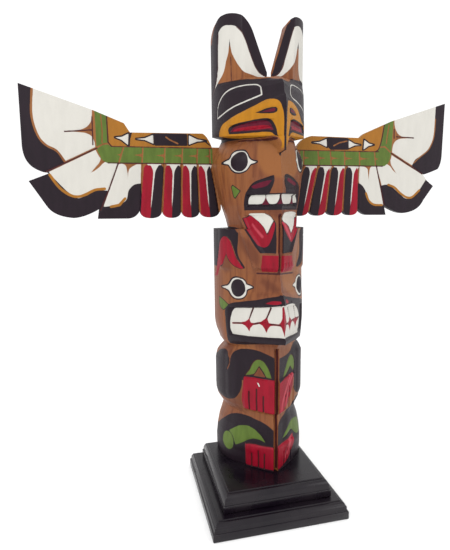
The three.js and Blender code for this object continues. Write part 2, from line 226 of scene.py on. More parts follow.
def edgeDistance(x, y, points, closed):
    nearest = np.full(len(x), 1e9)
    inside = np.zeros(len(x), bool)
    count = len(points)
    for i in range(count if closed else count - 1):
        ax, ay = points[i]
        bx, by = points[(i + 1) % count]
        dx, dy = bx - ax, by - ay
        t = np.clip(((x - ax) * dx + (y - ay) * dy) / (dx * dx + dy * dy + 1e-12), 0, 1)
        nearest = np.minimum(nearest, (x - ax - t * dx) ** 2 + (y - ay - t * dy) ** 2)
        if closed and ay != by:
            crosses = (ay > y) != (by > y)
            inside ^= crosses & (x < ax + (y - ay) * dx / dy)
    return np.sqrt(nearest), inside


def newCanvas(across, height):
    layers = {name: np.full(len(across), -farAway) for name in layerNames + softNames}
    layers["cut"] = np.zeros(len(across))
    return {"across": across, "height": height, "layers": layers}


def shapeDistance(canvas, side, outline, closed, smooth):
    # x is the distance out from the middle: L counts it to the left, R to the right
    outline = outline[side] if isinstance(outline, dict) else outline
    points = smoothOutline(outline, closed) if smooth else np.array(outline, float)
    x = -canvas["across"] if side == "L" else canvas["across"]
    y = canvas["height"]
    low = points.min(0) - farAway - 2
    high = points.max(0) + farAway + 2
    near = np.nonzero((x > low[0]) & (x < high[0]) & (y > low[1]) & (y < high[1]))[0]
    edge, inside = edgeDistance(x[near], y[near], points, closed)
    return near, edge, inside


def paint(canvas, layer, sides, outline, grow=0.0, smooth=True, remove=False):
    # an outline may be one for both sides or a dictionary with L and R
    field = canvas["layers"][layer]
    for side in sides:
        near, edge, inside = shapeDistance(canvas, side, outline, True, smooth)
        value = np.clip(np.where(inside, edge, -edge) + grow, -farAway, farAway)
        field[near] = np.minimum(field[near], -value) if remove else np.maximum(field[near], value)


def erase(canvas, layer, sides, outline, grow=0.0, smooth=True):
    paint(canvas, layer, sides, outline, grow, smooth, remove=True)


def stroke(canvas, layer, sides, run, width, smooth=True):
    field = canvas["layers"][layer]
    for side in sides:
        near, edge, inside = shapeDistance(canvas, side, run, False, smooth)
        field[near] = np.maximum(field[near], width / 2 - edge)


def ringAround(middle, radii):
    turn = np.linspace(0, 2 * math.pi, 40, endpoint=False)
    return [(middle[0] + radii[0] * math.cos(t), middle[1] + radii[1] * math.sin(t)) for t in turn]


def spot(canvas, layer, sides, middle, radii):
    paint(canvas, layer, sides, ringAround(middle, radii), smooth=False)


def carveLine(canvas, sides, run, width, depth, closed=False, smooth=True):
    # a V cut along the run
    field = canvas["layers"]["cut"]
    for side in sides:
        near, edge, inside = shapeDistance(canvas, side, run, closed, smooth)
        field[near] = np.maximum(field[near], depth * np.clip(1 - edge / (width / 2), 0, 1))


def storeLayers(mesh, canvas):
    for name in layerNames + softNames:
        attribute = mesh.attributes.new(name, "FLOAT", "POINT")
        attribute.data.foreach_set("value", canvas["layers"][name].astype(np.float32))


colours = {
    "wood": (0.168, 0.055, 0.022),
    "woodDark": (0.082, 0.021, 0.010),
    "woodGold": (0.228, 0.084, 0.024),
    "black": (0.0110, 0.0050, 0.0095),
    "ink": (0.0110, 0.0050, 0.0095),
    "white": (0.490, 0.475, 0.435),
    "yellow": (0.365, 0.148, 0.005),
    "red": (0.235, 0.0008, 0.013),
    "redHighlight": (0.380, 0.045, 0.065),
    "wine": (0.095, 0.002, 0.016),
    "green": (0.084, 0.132, 0.021),
    "line": (0.050, 0.009, 0.010),
}
wingColours = dict(
    colours, yellow=(0.280, 0.112, 0.012), wood=(0.215, 0.083, 0.024), woodDark=(0.120, 0.038, 0.013))
lacquer = {"deep": (0.004, 0.002, 0.005), "pale": (0.009, 0.006, 0.009), "dust": (0.05, 0.042, 0.042)}
brushing = {"white": 0.95, "yellow": 0.86}  # how dark the brush marks go
commonBrushing = 0.76
paintEdge = 0.22  # half the soft width of a painted edge, in millimetres
woodSpecular = 0.18  # a thin coat with hardly any shine
lacquerSpecular = 0.3


class NodeBench:
    # a material with its nodes and links added in one line each
    def __init__(self, name):
        self.material = bpy.data.materials.new(name)
        self.material.use_nodes = True
        self.tree = self.material.node_tree
        self.shader = self.tree.nodes["Principled BSDF"]

    def add(self, kind, settings=None, **inputs):
        node = self.tree.nodes.new(kind)
        for key, value in (settings or {}).items():
            setattr(node, key, value)
        for key, value in inputs.items():
            self.plug(node, key, value)
        return node

    def plug(self, node, key, value):
        socket = node.inputs[key]
        if isinstance(value, bpy.types.NodeSocket):
            self.tree.links.new(value, socket)
        elif isinstance(value, tuple) and len(value) == 3 and socket.type == "RGBA":
            socket.default_value = (*value, 1)
        else:
            socket.default_value = value

    def plugAll(self, node, values):
        for key, value in values:
            self.plug(node, key, value)

    def maths(self, operation, *values):
        node = self.add("ShaderNodeMath", {"operation": operation})
        self.plugAll(node, enumerate(values))
        return node.outputs[0]

    def attribute(self, name):
        return self.add("ShaderNodeAttribute", {"attribute_name": name}).outputs["Fac"]

    def mix(self, factor, first, second):
        node = self.add("ShaderNodeMix", {"data_type": "RGBA"})
        # the colour sockets of this node are the seventh and the eighth
        self.plugAll(node, ((0, factor), (6, first), (7, second)))
        return node.outputs[2]

    def stretchedNoise(self, scale, stretch, detail, offset=(0, 0, 0)):
        place = self.add("ShaderNodeTexCoord").outputs["Object"]
        mapped = self.add("ShaderNodeMapping", Vector=place, Scale=stretch, Location=offset)
        return self.add("ShaderNodeTexNoise", Vector=mapped.outputs[0], Scale=scale, Detail=detail).outputs[0]

    def range(self, value, low, high, to=(0.0, 1.0)):
        node = self.add("ShaderNodeMapRange", {"interpolation_type": "SMOOTHSTEP"})
        self.plugAll(node, enumerate((value, low, high, *to)))
        return node.outputs[0]

    def finish(self, colour, rough, specular, height, strength, distance):
        bump = self.add("ShaderNodeBump", Height=height, Strength=strength, Distance=distance)
        self.plugAll(self.shader, (("Base Color", colour), ("Roughness", rough),
                                   ("Specular IOR Level", specular), ("Normal", bump.outputs[0])))
        return self.material


def woodColour(bench, palette, seed=0.0):
    broad = bench.stretchedNoise(14, (1, 1, 0.35), 2, (seed, 0, 0))
    streak = bench.stretchedNoise(260, (1, 1, 0.05), 4, (0, seed, 0))
    colour = bench.mix(bench.range(broad, 0.35, 0.68), palette["wood"], palette["woodGold"])
    return bench.mix(bench.range(streak, 0.42, 0.72, (0, 0.6)), colour, palette["woodDark"]), streak


def makePaintedWood(name, palette):
    bench = NodeBench(name)
    wood, streak = woodColour(bench, palette)
    brush = bench.stretchedNoise(190, (1, 1, 0.25), 4)
    fine = bench.stretchedNoise(900, (1, 1, 1), 2)
    wobble = bench.maths("MULTIPLY_ADD", bench.stretchedNoise(240, (1, 1, 1), 2), 0.5, -0.25)
    # gold pales the wood; the dark layer is painted shade in hollows and under overhangs
    for layer, tone, most in (("gold", "woodGold", 0.85), ("paintedShade", "woodDark", 0.6)):
        patch = bench.range(bench.attribute(layer), -3.0, 2.5, (0, most))
        wood = bench.mix(patch, wood, palette[tone])
    # painted highlight: the red turns rose along the highlight strokes, broken by the brush noise
    highlightMask = bench.range(bench.maths("MULTIPLY_ADD", brush, 1.6, bench.attribute("redHighlight")), -0.4, 1.9)
    colour = wood
    covered = None
    for layer in layerNames:
        mask = bench.range(bench.maths("ADD", bench.attribute(layer), wobble), -paintEdge, paintEdge)
        if layer == "bare":
            colour = bench.mix(mask, colour, wood)
            covered = bench.maths("MULTIPLY", covered, bench.maths("SUBTRACT", 1.0, mask))
            continue
        tone = palette[layer]
        marks = tuple(c * brushing.get(layer, commonBrushing) for c in tone)
        shade = bench.mix(bench.range(brush, 0.3, 0.75), tone, marks)
        if layer == "red":
            shade = bench.mix(highlightMask, shade, palette["redHighlight"])
        colour = bench.mix(mask, colour, shade)
        covered = mask if covered is None else bench.maths("MAXIMUM", covered, mask)
    rough = bench.maths("MULTIPLY_ADD", covered, 0.06, bench.range(fine, 0.3, 0.7, (0.38, 0.5)))
    height = bench.maths("MULTIPLY_ADD", covered, 0.35, bench.maths("MULTIPLY", streak, 0.5))
    height = bench.maths("MULTIPLY_ADD", fine, 0.15, height)
    return bench.finish(colour, rough, woodSpecular, height, 0.35, 0.0006)


def makeBareWood():
    bench = NodeBench("bareStainedWood")
    wood, streak = woodColour(bench, colours, 3.0)
    return bench.finish(wood, bench.range(streak, 0.3, 0.7, (0.42, 0.6)), woodSpecular, streak, 0.4, 0.0006)


def makeBlackLacquer():
    bench = NodeBench("blackLacquer")
    cloud = bench.stretchedNoise(35, (1, 1, 1), 3)
    dust = bench.stretchedNoise(1400, (1, 1, 1), 2)
    grain = bench.stretchedNoise(120, (0.06, 1, 1), 3)
    colour = bench.mix(bench.range(cloud, 0.3, 0.7), lacquer["deep"], lacquer["pale"])
    colour = bench.mix(bench.range(dust, 0.66, 0.8, (0, 0.25)), colour, lacquer["dust"])
    rough = bench.range(cloud, 0.3, 0.7, (0.2, 0.32))
    return bench.finish(colour, rough, lacquerSpecular, grain, 0.25, 0.0004)


paintedPole = makePaintedWood("paintedPole", colours)
paintedWing = makePaintedWood("paintedWing", wingColours)
bareWood = makeBareWood()
blackLacquer = makeBlackLacquer()
print("materials ready")


# Pole: millimetres, the same surface as the solid, on a finer net
pole = {
    "bottom": 34.3, "top": 468.0, "halfWidth": 45.2, "backY": 39.4,
    "cornerY": 9.8, "cornerFace": 25.0, "cornerSide": 24.0,
    "grooveHalf": 4.0, "grooveDepth": 4.5,
    # distances from the ridge where the face, the rounded corner and the side end
    "faceEnd": 39, "cornerEnd": 81, "sideEnd": 87,
    "columnStep": 0.8, "sideStep": 1.4, "fineEnd": 66, "rowStep": 0.95, "rowLeast": 0.35,
    "hook": {"low": 340, "high": 353, "tip": 48.4, "half": 3.2, "widen": 11.8},
    "earCut": {"low": 403, "high": 411, "frontY": -4, "ahead": 36},
    "ridge": [
        (34.3, 27), (82, 27.5), (87.7, 26.5), (92, 26.5), (94.5, 29.5), (150, 30), (158, 29), (162, 29.5),
        (166, 33), (168.5, 42), (170, 50), (173, 51.6), (190, 50), (209, 48.5), (213, 45), (217, 39),
        (224, 38), (231, 35), (234, 37), (285, 39), (288, 38), (292, 39), (295, 41.5), (305, 41.5),
        (316, 39.5), (330, 37), (343, 35), (351.5, 31.5), (353, 46.5), (378, 48.6), (384, 47), (390, 44.5),
        (397, 43), (401, 39), (405, 31), (411, 21.5)],
    "slant": [
        (100, 0), (162, -0.1), (170, -0.14), (205, -0.14), (234, 0), (330, 0), (353, 0.12), (372, 0.05),
        (398, 0)],
    "sideCut": [
        (34.3, 0.5), (40, 0), (51, 0), (62, 1.2), (73, 3.4), (80, 5.8), (87.7, 8.2), (91, 5.2),
        (96.5, 1.8), (103, 0.3), (110, 0), (152, 0), (156, 1.4), (159, 3), (162, 5.5), (165, 3),
        (170, 1.8), (180, 0.8), (190, 0), (273, 0), (273.5, 8.2), (282, 7.1), (300, 4.2), (318, 1.6),
        (332, 0), (337, 0.2), (341, 2.4), (345, 5.5), (350, 9.5), (351.5, 9.5), (353, 0), (468, 0)],
    "backCut": [
        (142, 0.3), (148.5, 1.5), (154.7, 3.2), (158.5, 4.4), (162, 5.1), (168, 4.6), (176, 2.6),
        (181.5, 1), (187, 0.3), (193, 0), (273, 0), (273.5, 7), (282, 6), (300, 3), (318, 1), (332, 0)],
    "steps": [
        90, 92, 94, 95.6, 127.5, 129, 156, 159, 174.5, 176.5, 203, 205.5, 237, 293.5, 303.5, 321, 339.5, 340,
        359, 361.3, 366, 368.5, 403, 407,
    ],
}


def sectionPoint(reach, level):
    ridgeY = -along(pole["ridge"], level)
    width, cornerY = pole["halfWidth"], pole["cornerY"]
    faceY = cornerY - ridgeY
    length = np.hypot(width, faceY)
    startX = width - pole["cornerFace"] * width / length
    startY = cornerY - pole["cornerFace"] * faceY / length
    endY = cornerY + pole["cornerSide"]
    face = np.clip(reach, 0, 1)
    turn = np.clip(reach - 1, 0, 1)
    wall = reach - 2
    firstX, firstY = startX + (width - startX) * turn, startY + (cornerY - startY) * turn
    secondX, secondY = width, cornerY + (endY - cornerY) * turn
    cornerX, cornerAtY = firstX + (secondX - firstX) * turn, firstY + (secondY - firstY) * turn
    x = np.where(reach <= 1, startX * face, np.where(reach <= 2, cornerX, width))
    y = np.where(reach <= 1, ridgeY + (startY - ridgeY) * face,
                 np.where(reach <= 2, cornerAtY, endY + (pole["backY"] - endY) * wall))
    return x, y


def reachOf(s):
    # 0 to 1 over the face, to 2 round the corner, to 3 along the side
    face, corner, side = pole["faceEnd"], pole["cornerEnd"], pole["sideEnd"]
    return np.where(s <= face, s / face, np.where(
        s <= corner, 1 + (s - face) / (corner - face), 2 + (s - corner) / (side - corner)))


# Carved forms: "up" is the span up the pole and the width of its slopes, "inner" and "outer" are the slopes
# towards the ridge and away from it
forms = {
    "toes": {"height": 1.8, "up": (30.3, 59.5, 1.6), "inner": (2, 4), "outer": (36, 39)},
    "knee": {"height": 1.2, "up": (46, 88, 10), "inner": (12, 24), "outer": (50, 62)},
    "hands": {"height": 1.8, "up": (94, 129, 1.6), "inner": (2, 4), "outer": (38, 41)},
    "thigh": {"height": 1.2, "up": (99, 156, 8), "inner": (40, 48), "outer": (54, 62)},
    "bearEar": {"height": 1.3, "up": (232, 277.5, 4), "inner": (42, 51), "outer": (63, 72)},
    "mouth": {"height": -2.5, "up": (293.5, 305, 1.6), "inner": (-1, 0), "outer": (34, 37)},
    "nose": {"height": 1.5, "up": (306, 321, 4), "inner": (-1, 0), "outer": (26, 33)},
    "beakSlit": {"height": -2, "up": (361.5, 368.5, 1.4), "inner": (8, 11), "outer": (48, 51)},
}
eyeballs = [(43.5, 217, 11), (41.5, 335.5, 12)]  # middle and radius: the bear, the second figure
eyeHeight = 2


def carving(s, z):
    # height of the carved forms over the plain section
    grooved = np.where(z < 160, 1, band(z, 234, 287, 3))
    groove = -pole["grooveDepth"] * grooved * (1 - ease(s, 0.6, pole["grooveHalf"]))
    plain = 0
    for form in forms.values():
        reach = ease(s, *form["inner"]) * (1 - ease(s, *form["outer"]))
        plain = plain + form["height"] * band(z, *form["up"]) * reach
    balls = sum(eyeHeight * ease(1 - np.hypot(s - out, z - up) / radius, 0, 1)
                for out, up, radius in eyeballs)
    # these four have slanting edges
    bearMouth = band(z, 174 - 0.11 * s, 205.5 - 0.16 * s, 2) * (1 - ease(s, 52, 55))
    armEdge = 23 + 0.4 * (z - 234)
    chest = band(z, 233, 300, 6) * (1 - ease(s - armEdge, 0, 5)) * (1 - ease(z, 276, 296))
    breastEdge = 15.5 + 0.73 * (z - 250)
    breast = band(z, 250, 287, 2.5) * (1 - ease(s - breastEdge, -3, 0))
    beakTop = 386.5 - 0.27 * s - 0.65 * np.maximum(0, s - 48)
    beak = ease(z, 352.5, 353) * (1 - ease(z - beakTop, 0, 2)) * (1 - ease(s, 34, 62))
    slanting = 4 * chest * (1 - 0.5 * ease(s, 15, 40)) - 1.8 * breast + 1.6 * beak - 2.4 * bearMouth
    forehead = -2.5 * band(s, 32, 66, 14) * (1 - ease(z, 416, 446)) * ease(z, 407, 410)
    return groove + plain + balls + slanting + forehead


def polePoint(side, s, level):
    # side is -1 or 1, s runs from the ridge round to the back, level is the ring's height on the ridge
    reach = reachOf(s)
    z = level + along(pole["slant"], level) * s
    x, y = sectionPoint(reach, level)
    beforeX, beforeY = sectionPoint(np.maximum(0, reach - 0.02), level)
    afterX, afterY = sectionPoint(np.minimum(3, reach + 0.02), level)
    runX, runY = afterX - beforeX, afterY - beforeY
    run = np.hypot(runX, runY)
    turned = ease(s, 2, 14)
    outX = turned * runY / run
    outY = -1 + turned * (1 - runX / run)
    raised = carving(s, z)
    cut = along(pole["sideCut"], level) * ease(s, 22, 58) + along(pole["backCut"], level) * ease(s, 62, 84)
    x = np.maximum(0, x + outX * raised - cut)
    y = y + outY * raised
    # the beak hooks down in front of the second figure's forehead
    hook = pole["hook"]
    down = np.clip((level - hook["low"]) / (hook["high"] - hook["low"]), 0, 1)
    half = hook["half"] + hook["widen"] * down ** 2
    hooked = y + np.minimum(0, -hook["tip"] + s * math.sqrt(0.5) - y) * (1 - ease(s - half, -2, 0))
    y = np.where((level > hook["low"]) & (level < hook["high"]), hooked, y)
    # flat cut across the ridge at the height of the ears
    earCut = pole["earCut"]
    front = earCut["frontY"] - (1 - ease(z, earCut["low"], earCut["high"])) * earCut["ahead"]
    y = np.where(z > earCut["low"], np.maximum(y, front), y)
    return np.stack([side * np.minimum(x, pole["halfWidth"]), np.minimum(y, pole["backY"]), z], -1)


def poleLevels():
    marks = {pole["bottom"], pole["top"] + 1.0, *pole["steps"]}
    for name in ("ridge", "sideCut"):
        marks.update(level for level, value in pole[name] if level > pole["bottom"])
    marks = sorted(marks)
    levels = [marks[0]]
    for high in marks[1:]:
        gap = high - levels[-1]
        if gap >= pole["rowLeast"]:
            count = max(1, math.ceil(gap / pole["rowStep"] - 0.15))
            levels.extend(np.linspace(levels[-1], high, count + 1)[1:])
    return np.array(levels)


def makeNet(name, columns, rows, material):
    bpy.ops.mesh.primitive_grid_add(x_subdivisions=columns - 1, y_subdivisions=rows - 1, size=1)
    net = bpy.context.object
    net.name = name
    net.data.materials.append(material)
    net.data.materials.append(bareWood)
    row, column = np.divmod(np.arange(len(net.data.vertices)), columns)
    return net, row, column


def outlinePrism(name, outline, front, back, material):
    # a flat outline in front view, filled and drawn out from front to back
    bpy.ops.mesh.primitive_circle_add(vertices=len(outline), radius=0.1, fill_type="NGON")
    prism = bpy.context.object
    prism.name = name
    writePoints(prism.data, np.array([(x, front, z) for x, z in outline]) * mm)
    drawn = {"value": (0, (back - front) * mm, 0)}
    onAllFaces(prism, bpy.ops.mesh.extrude_region_move, TRANSFORM_OT_translate=drawn)
    faceOutward(prism)
    prism.data.materials.append(material)
    return prism


def cutWith(piece, tool, operation):
    # the tool's faces bring its own material along
    makeActive(piece)
    modifier = piece.modifiers.new(tool.name, "BOOLEAN")
    modifier.object = tool
    modifier.operation = operation
    modifier.solver = "MANIFOLD"
    modifier.material_mode = "TRANSFER"
    bpy.ops.object.modifier_apply(modifier=modifier.name)
    bpy.data.objects.remove(tool)


ears = {
    "base": 33.3, "sideTop": 450, "notch": 411.0, "shoulder": [(14.5, 449), (16.5, 456)],
    "bend": [(20.5, 465), (18.5, 467)], "crest": 37.0, "corner": 5.0, "back": (72.5, 450), "backTop": 56.0,
    "ridge": 21.5, "hollow": [(0, -5.5), (40, 28), (42, 40.4)], "hollowRise": 80, "depth": 136.0, "turns": 14,
}


def earOutline(hand):
    width, top, low = pole["halfWidth"], pole["top"], ears["base"]
    outline = [(width + 2, low), (width + 2, ears["sideTop"]), (width, ears["sideTop"])]
    curveTo(outline, (width, top), (width - ears["corner"], top))
    outline.append((ears["crest"], top))
    curveTo(outline, ears["bend"][hand], ears["shoulder"][hand], ears["turns"])
    return outline


def earsOutline():
    return earOutline(1) + [(0, ears["notch"])] + [(-x, z) for x, z in reversed(earOutline(0))]


def backCornerPrism(side):
    far, top, low, turned = 2 * pole["halfWidth"], pole["top"], ears["base"], ears["back"]
    outline = [(-far, low), (far, low), (far, turned[1] - 1), turned]
    curveTo(outline, (turned[0] - 2, top), (ears["backTop"], top), ears["turns"])
    outline.append((-far, top))
    tool = outlinePrism("backCorner", outline, -ears["depth"], ears["depth"], bareWood)
    angle = math.atan2(ears["ridge"] + pole["cornerY"], pole["halfWidth"])
    points = readPoints(tool.data)
    x, y = points[:, 0].copy(), points[:, 1].copy()
    points[:, 0] = side * (x * math.cos(angle) - y * math.sin(angle))
    points[:, 1] = x * math.sin(angle) + y * math.cos(angle) - ears["ridge"] * mm
    writePoints(tool.data, points)
    if side < 0:
        onAllFaces(tool, bpy.ops.mesh.flip_normals)
    return tool


def hollowPrism():
    outline = ears["hollow"] + [(-x, y) for x, y in ears["hollow"][:0:-1]]
    tool = outlinePrism("earHollow", outline, ears["notch"], ears["notch"] + ears["hollowRise"], bareWood)
    # the outline was drawn in front view: lay it down, so that it rises
    writePoints(tool.data, readPoints(tool.data)[:, [0, 2, 1]])
    faceOutward(tool)
    return tool


def makePoleBlank():
    wall = pole["sideEnd"] - pole["fineEnd"]
    face = np.arange(0, pole["fineEnd"] + 0.01, pole["columnStep"])
    side = np.linspace(pole["fineEnd"], pole["sideEnd"], math.ceil(wall / pole["sideStep"]) + 1)
    half = np.concatenate([face[face < pole["fineEnd"] - pole["columnStep"] / 2], side])
    columns = np.concatenate([-half[:0:-1], half])
    levels = poleLevels()
    blank, row, column = makeNet("carvedPole", len(columns), len(levels), paintedPole)
    mesh = blank.data
    across = columns[column]
    points = polePoint(np.where(across < 0, -1.0, 1.0), np.abs(across), levels[row])
    writePoints(mesh, points * mm)
    for name, value in (("across", across), ("original", np.ones(len(across)))):
        mesh.attributes.new(name, "FLOAT", "POINT").data.foreach_set("value", value.astype(np.float32))
    # join the two back edges, then fill the two ends
    lastColumn = len(columns) - 1
    bpy.ops.object.mode_set(mode="EDIT")
    bpy.ops.mesh.select_all(action="DESELECT")
    bpy.ops.object.mode_set(mode="OBJECT")
    ends = np.empty(len(mesh.edges) * 2, int)
    mesh.edges.foreach_get("vertices", ends)
    atColumn = column[ends.reshape(-1, 2)]
    mesh.edges.foreach_set("select", (atColumn == 0).all(1) | (atColumn == lastColumn).all(1))
    mesh.vertices.foreach_set("select", (column == 0) | (column == lastColumn))
    bpy.ops.object.mode_set(mode="EDIT")
    bpy.ops.mesh.select_mode(type="EDGE")
    bpy.ops.mesh.bridge_edge_loops()
    bpy.ops.mesh.select_all(action="DESELECT")
    bpy.ops.mesh.select_non_manifold()
    bpy.ops.mesh.fill_holes(sides=0)
    faceOutward(blank)
    netFaces = lastColumn * (len(levels) - 1)
    for polygon in mesh.polygons[netFaces:]:
        polygon.material_index = 1
    return blank, points, across, len(columns)


def fillAcross(mesh, net, netAcross, count):
    # points made by the cuts take their distance from the ridge from the net around them
    across = np.empty(len(mesh.vertices), np.float32)
    original = np.empty(len(mesh.vertices), np.float32)
    mesh.attributes["across"].data.foreach_get("value", across)
    mesh.attributes["original"].data.foreach_get("value", original)
    points = readPoints(mesh) / mm
    tree = kdtree.KDTree(len(net))
    for i, point in enumerate(net):
        tree.insert(point, i)
    tree.balance()
    last = len(net) - 1
    for i in np.nonzero(original < 0.5)[0]:
        near = tree.find(points[i])[1]
        column = near % count
        before = near - (1 if column > 0 else 0)
        after = near + (1 if column < count - 1 else 0)
        upper = min(near + count, last)
        lower = max(near - count, 0)
        run = (net[after] - net[before]) / (netAcross[after] - netAcross[before])
        rise = (net[upper] - net[lower]) / max(net[upper][2] - net[lower][2], 1e-6)
        offset = points[i] - net[near]
        step = np.linalg.lstsq(np.stack([run, rise], 1), offset, rcond=None)[0][0]
        across[i] = netAcross[near] + np.clip(step, -1.5, 1.5)
    return across.astype(float), points


def carvePole():
    piece, net, netAcross, count = makePoleBlank()
    depth = ears["depth"]
    cutWith(piece, outlinePrism("earOutline", earsOutline(), -depth, depth, bareWood), "INTERSECT")
    cutWith(piece, backCornerPrism(1), "INTERSECT")
    cutWith(piece, backCornerPrism(-1), "INTERSECT")
    cutWith(piece, hollowPrism(), "DIFFERENCE")
    mesh = piece.data
    across, points = fillAcross(mesh, net, netAcross, count)
    canvas = newCanvas(across, points[:, 2])
    for paintFigure in (paintEagle, paintSecondFigure, paintBear, paintBody, paintLegs):
        paintFigure(canvas)
    outer = np.zeros(len(points), bool)
    for polygon in mesh.polygons:
        if polygon.material_index == 0:
            outer[list(polygon.vertices)] = True
    normals = np.empty(len(points) * 3)
    mesh.vertex_normals.foreach_get("vector", normals)
    cut = np.where(outer, canvas["layers"]["cut"], 0)
    writePoints(mesh, (points - normals.reshape(-1, 3) * cut[:, None]) * mm)
    storeLayers(mesh, canvas)
    mesh.attributes.remove(mesh.attributes["original"])
    makeActive(piece)
    bpy.ops.object.shade_smooth_by_angle(angle=roundAngle)
    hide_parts("pole")
    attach(piece, "root")
    print("pole carved:", len(mesh.polygons), "faces")


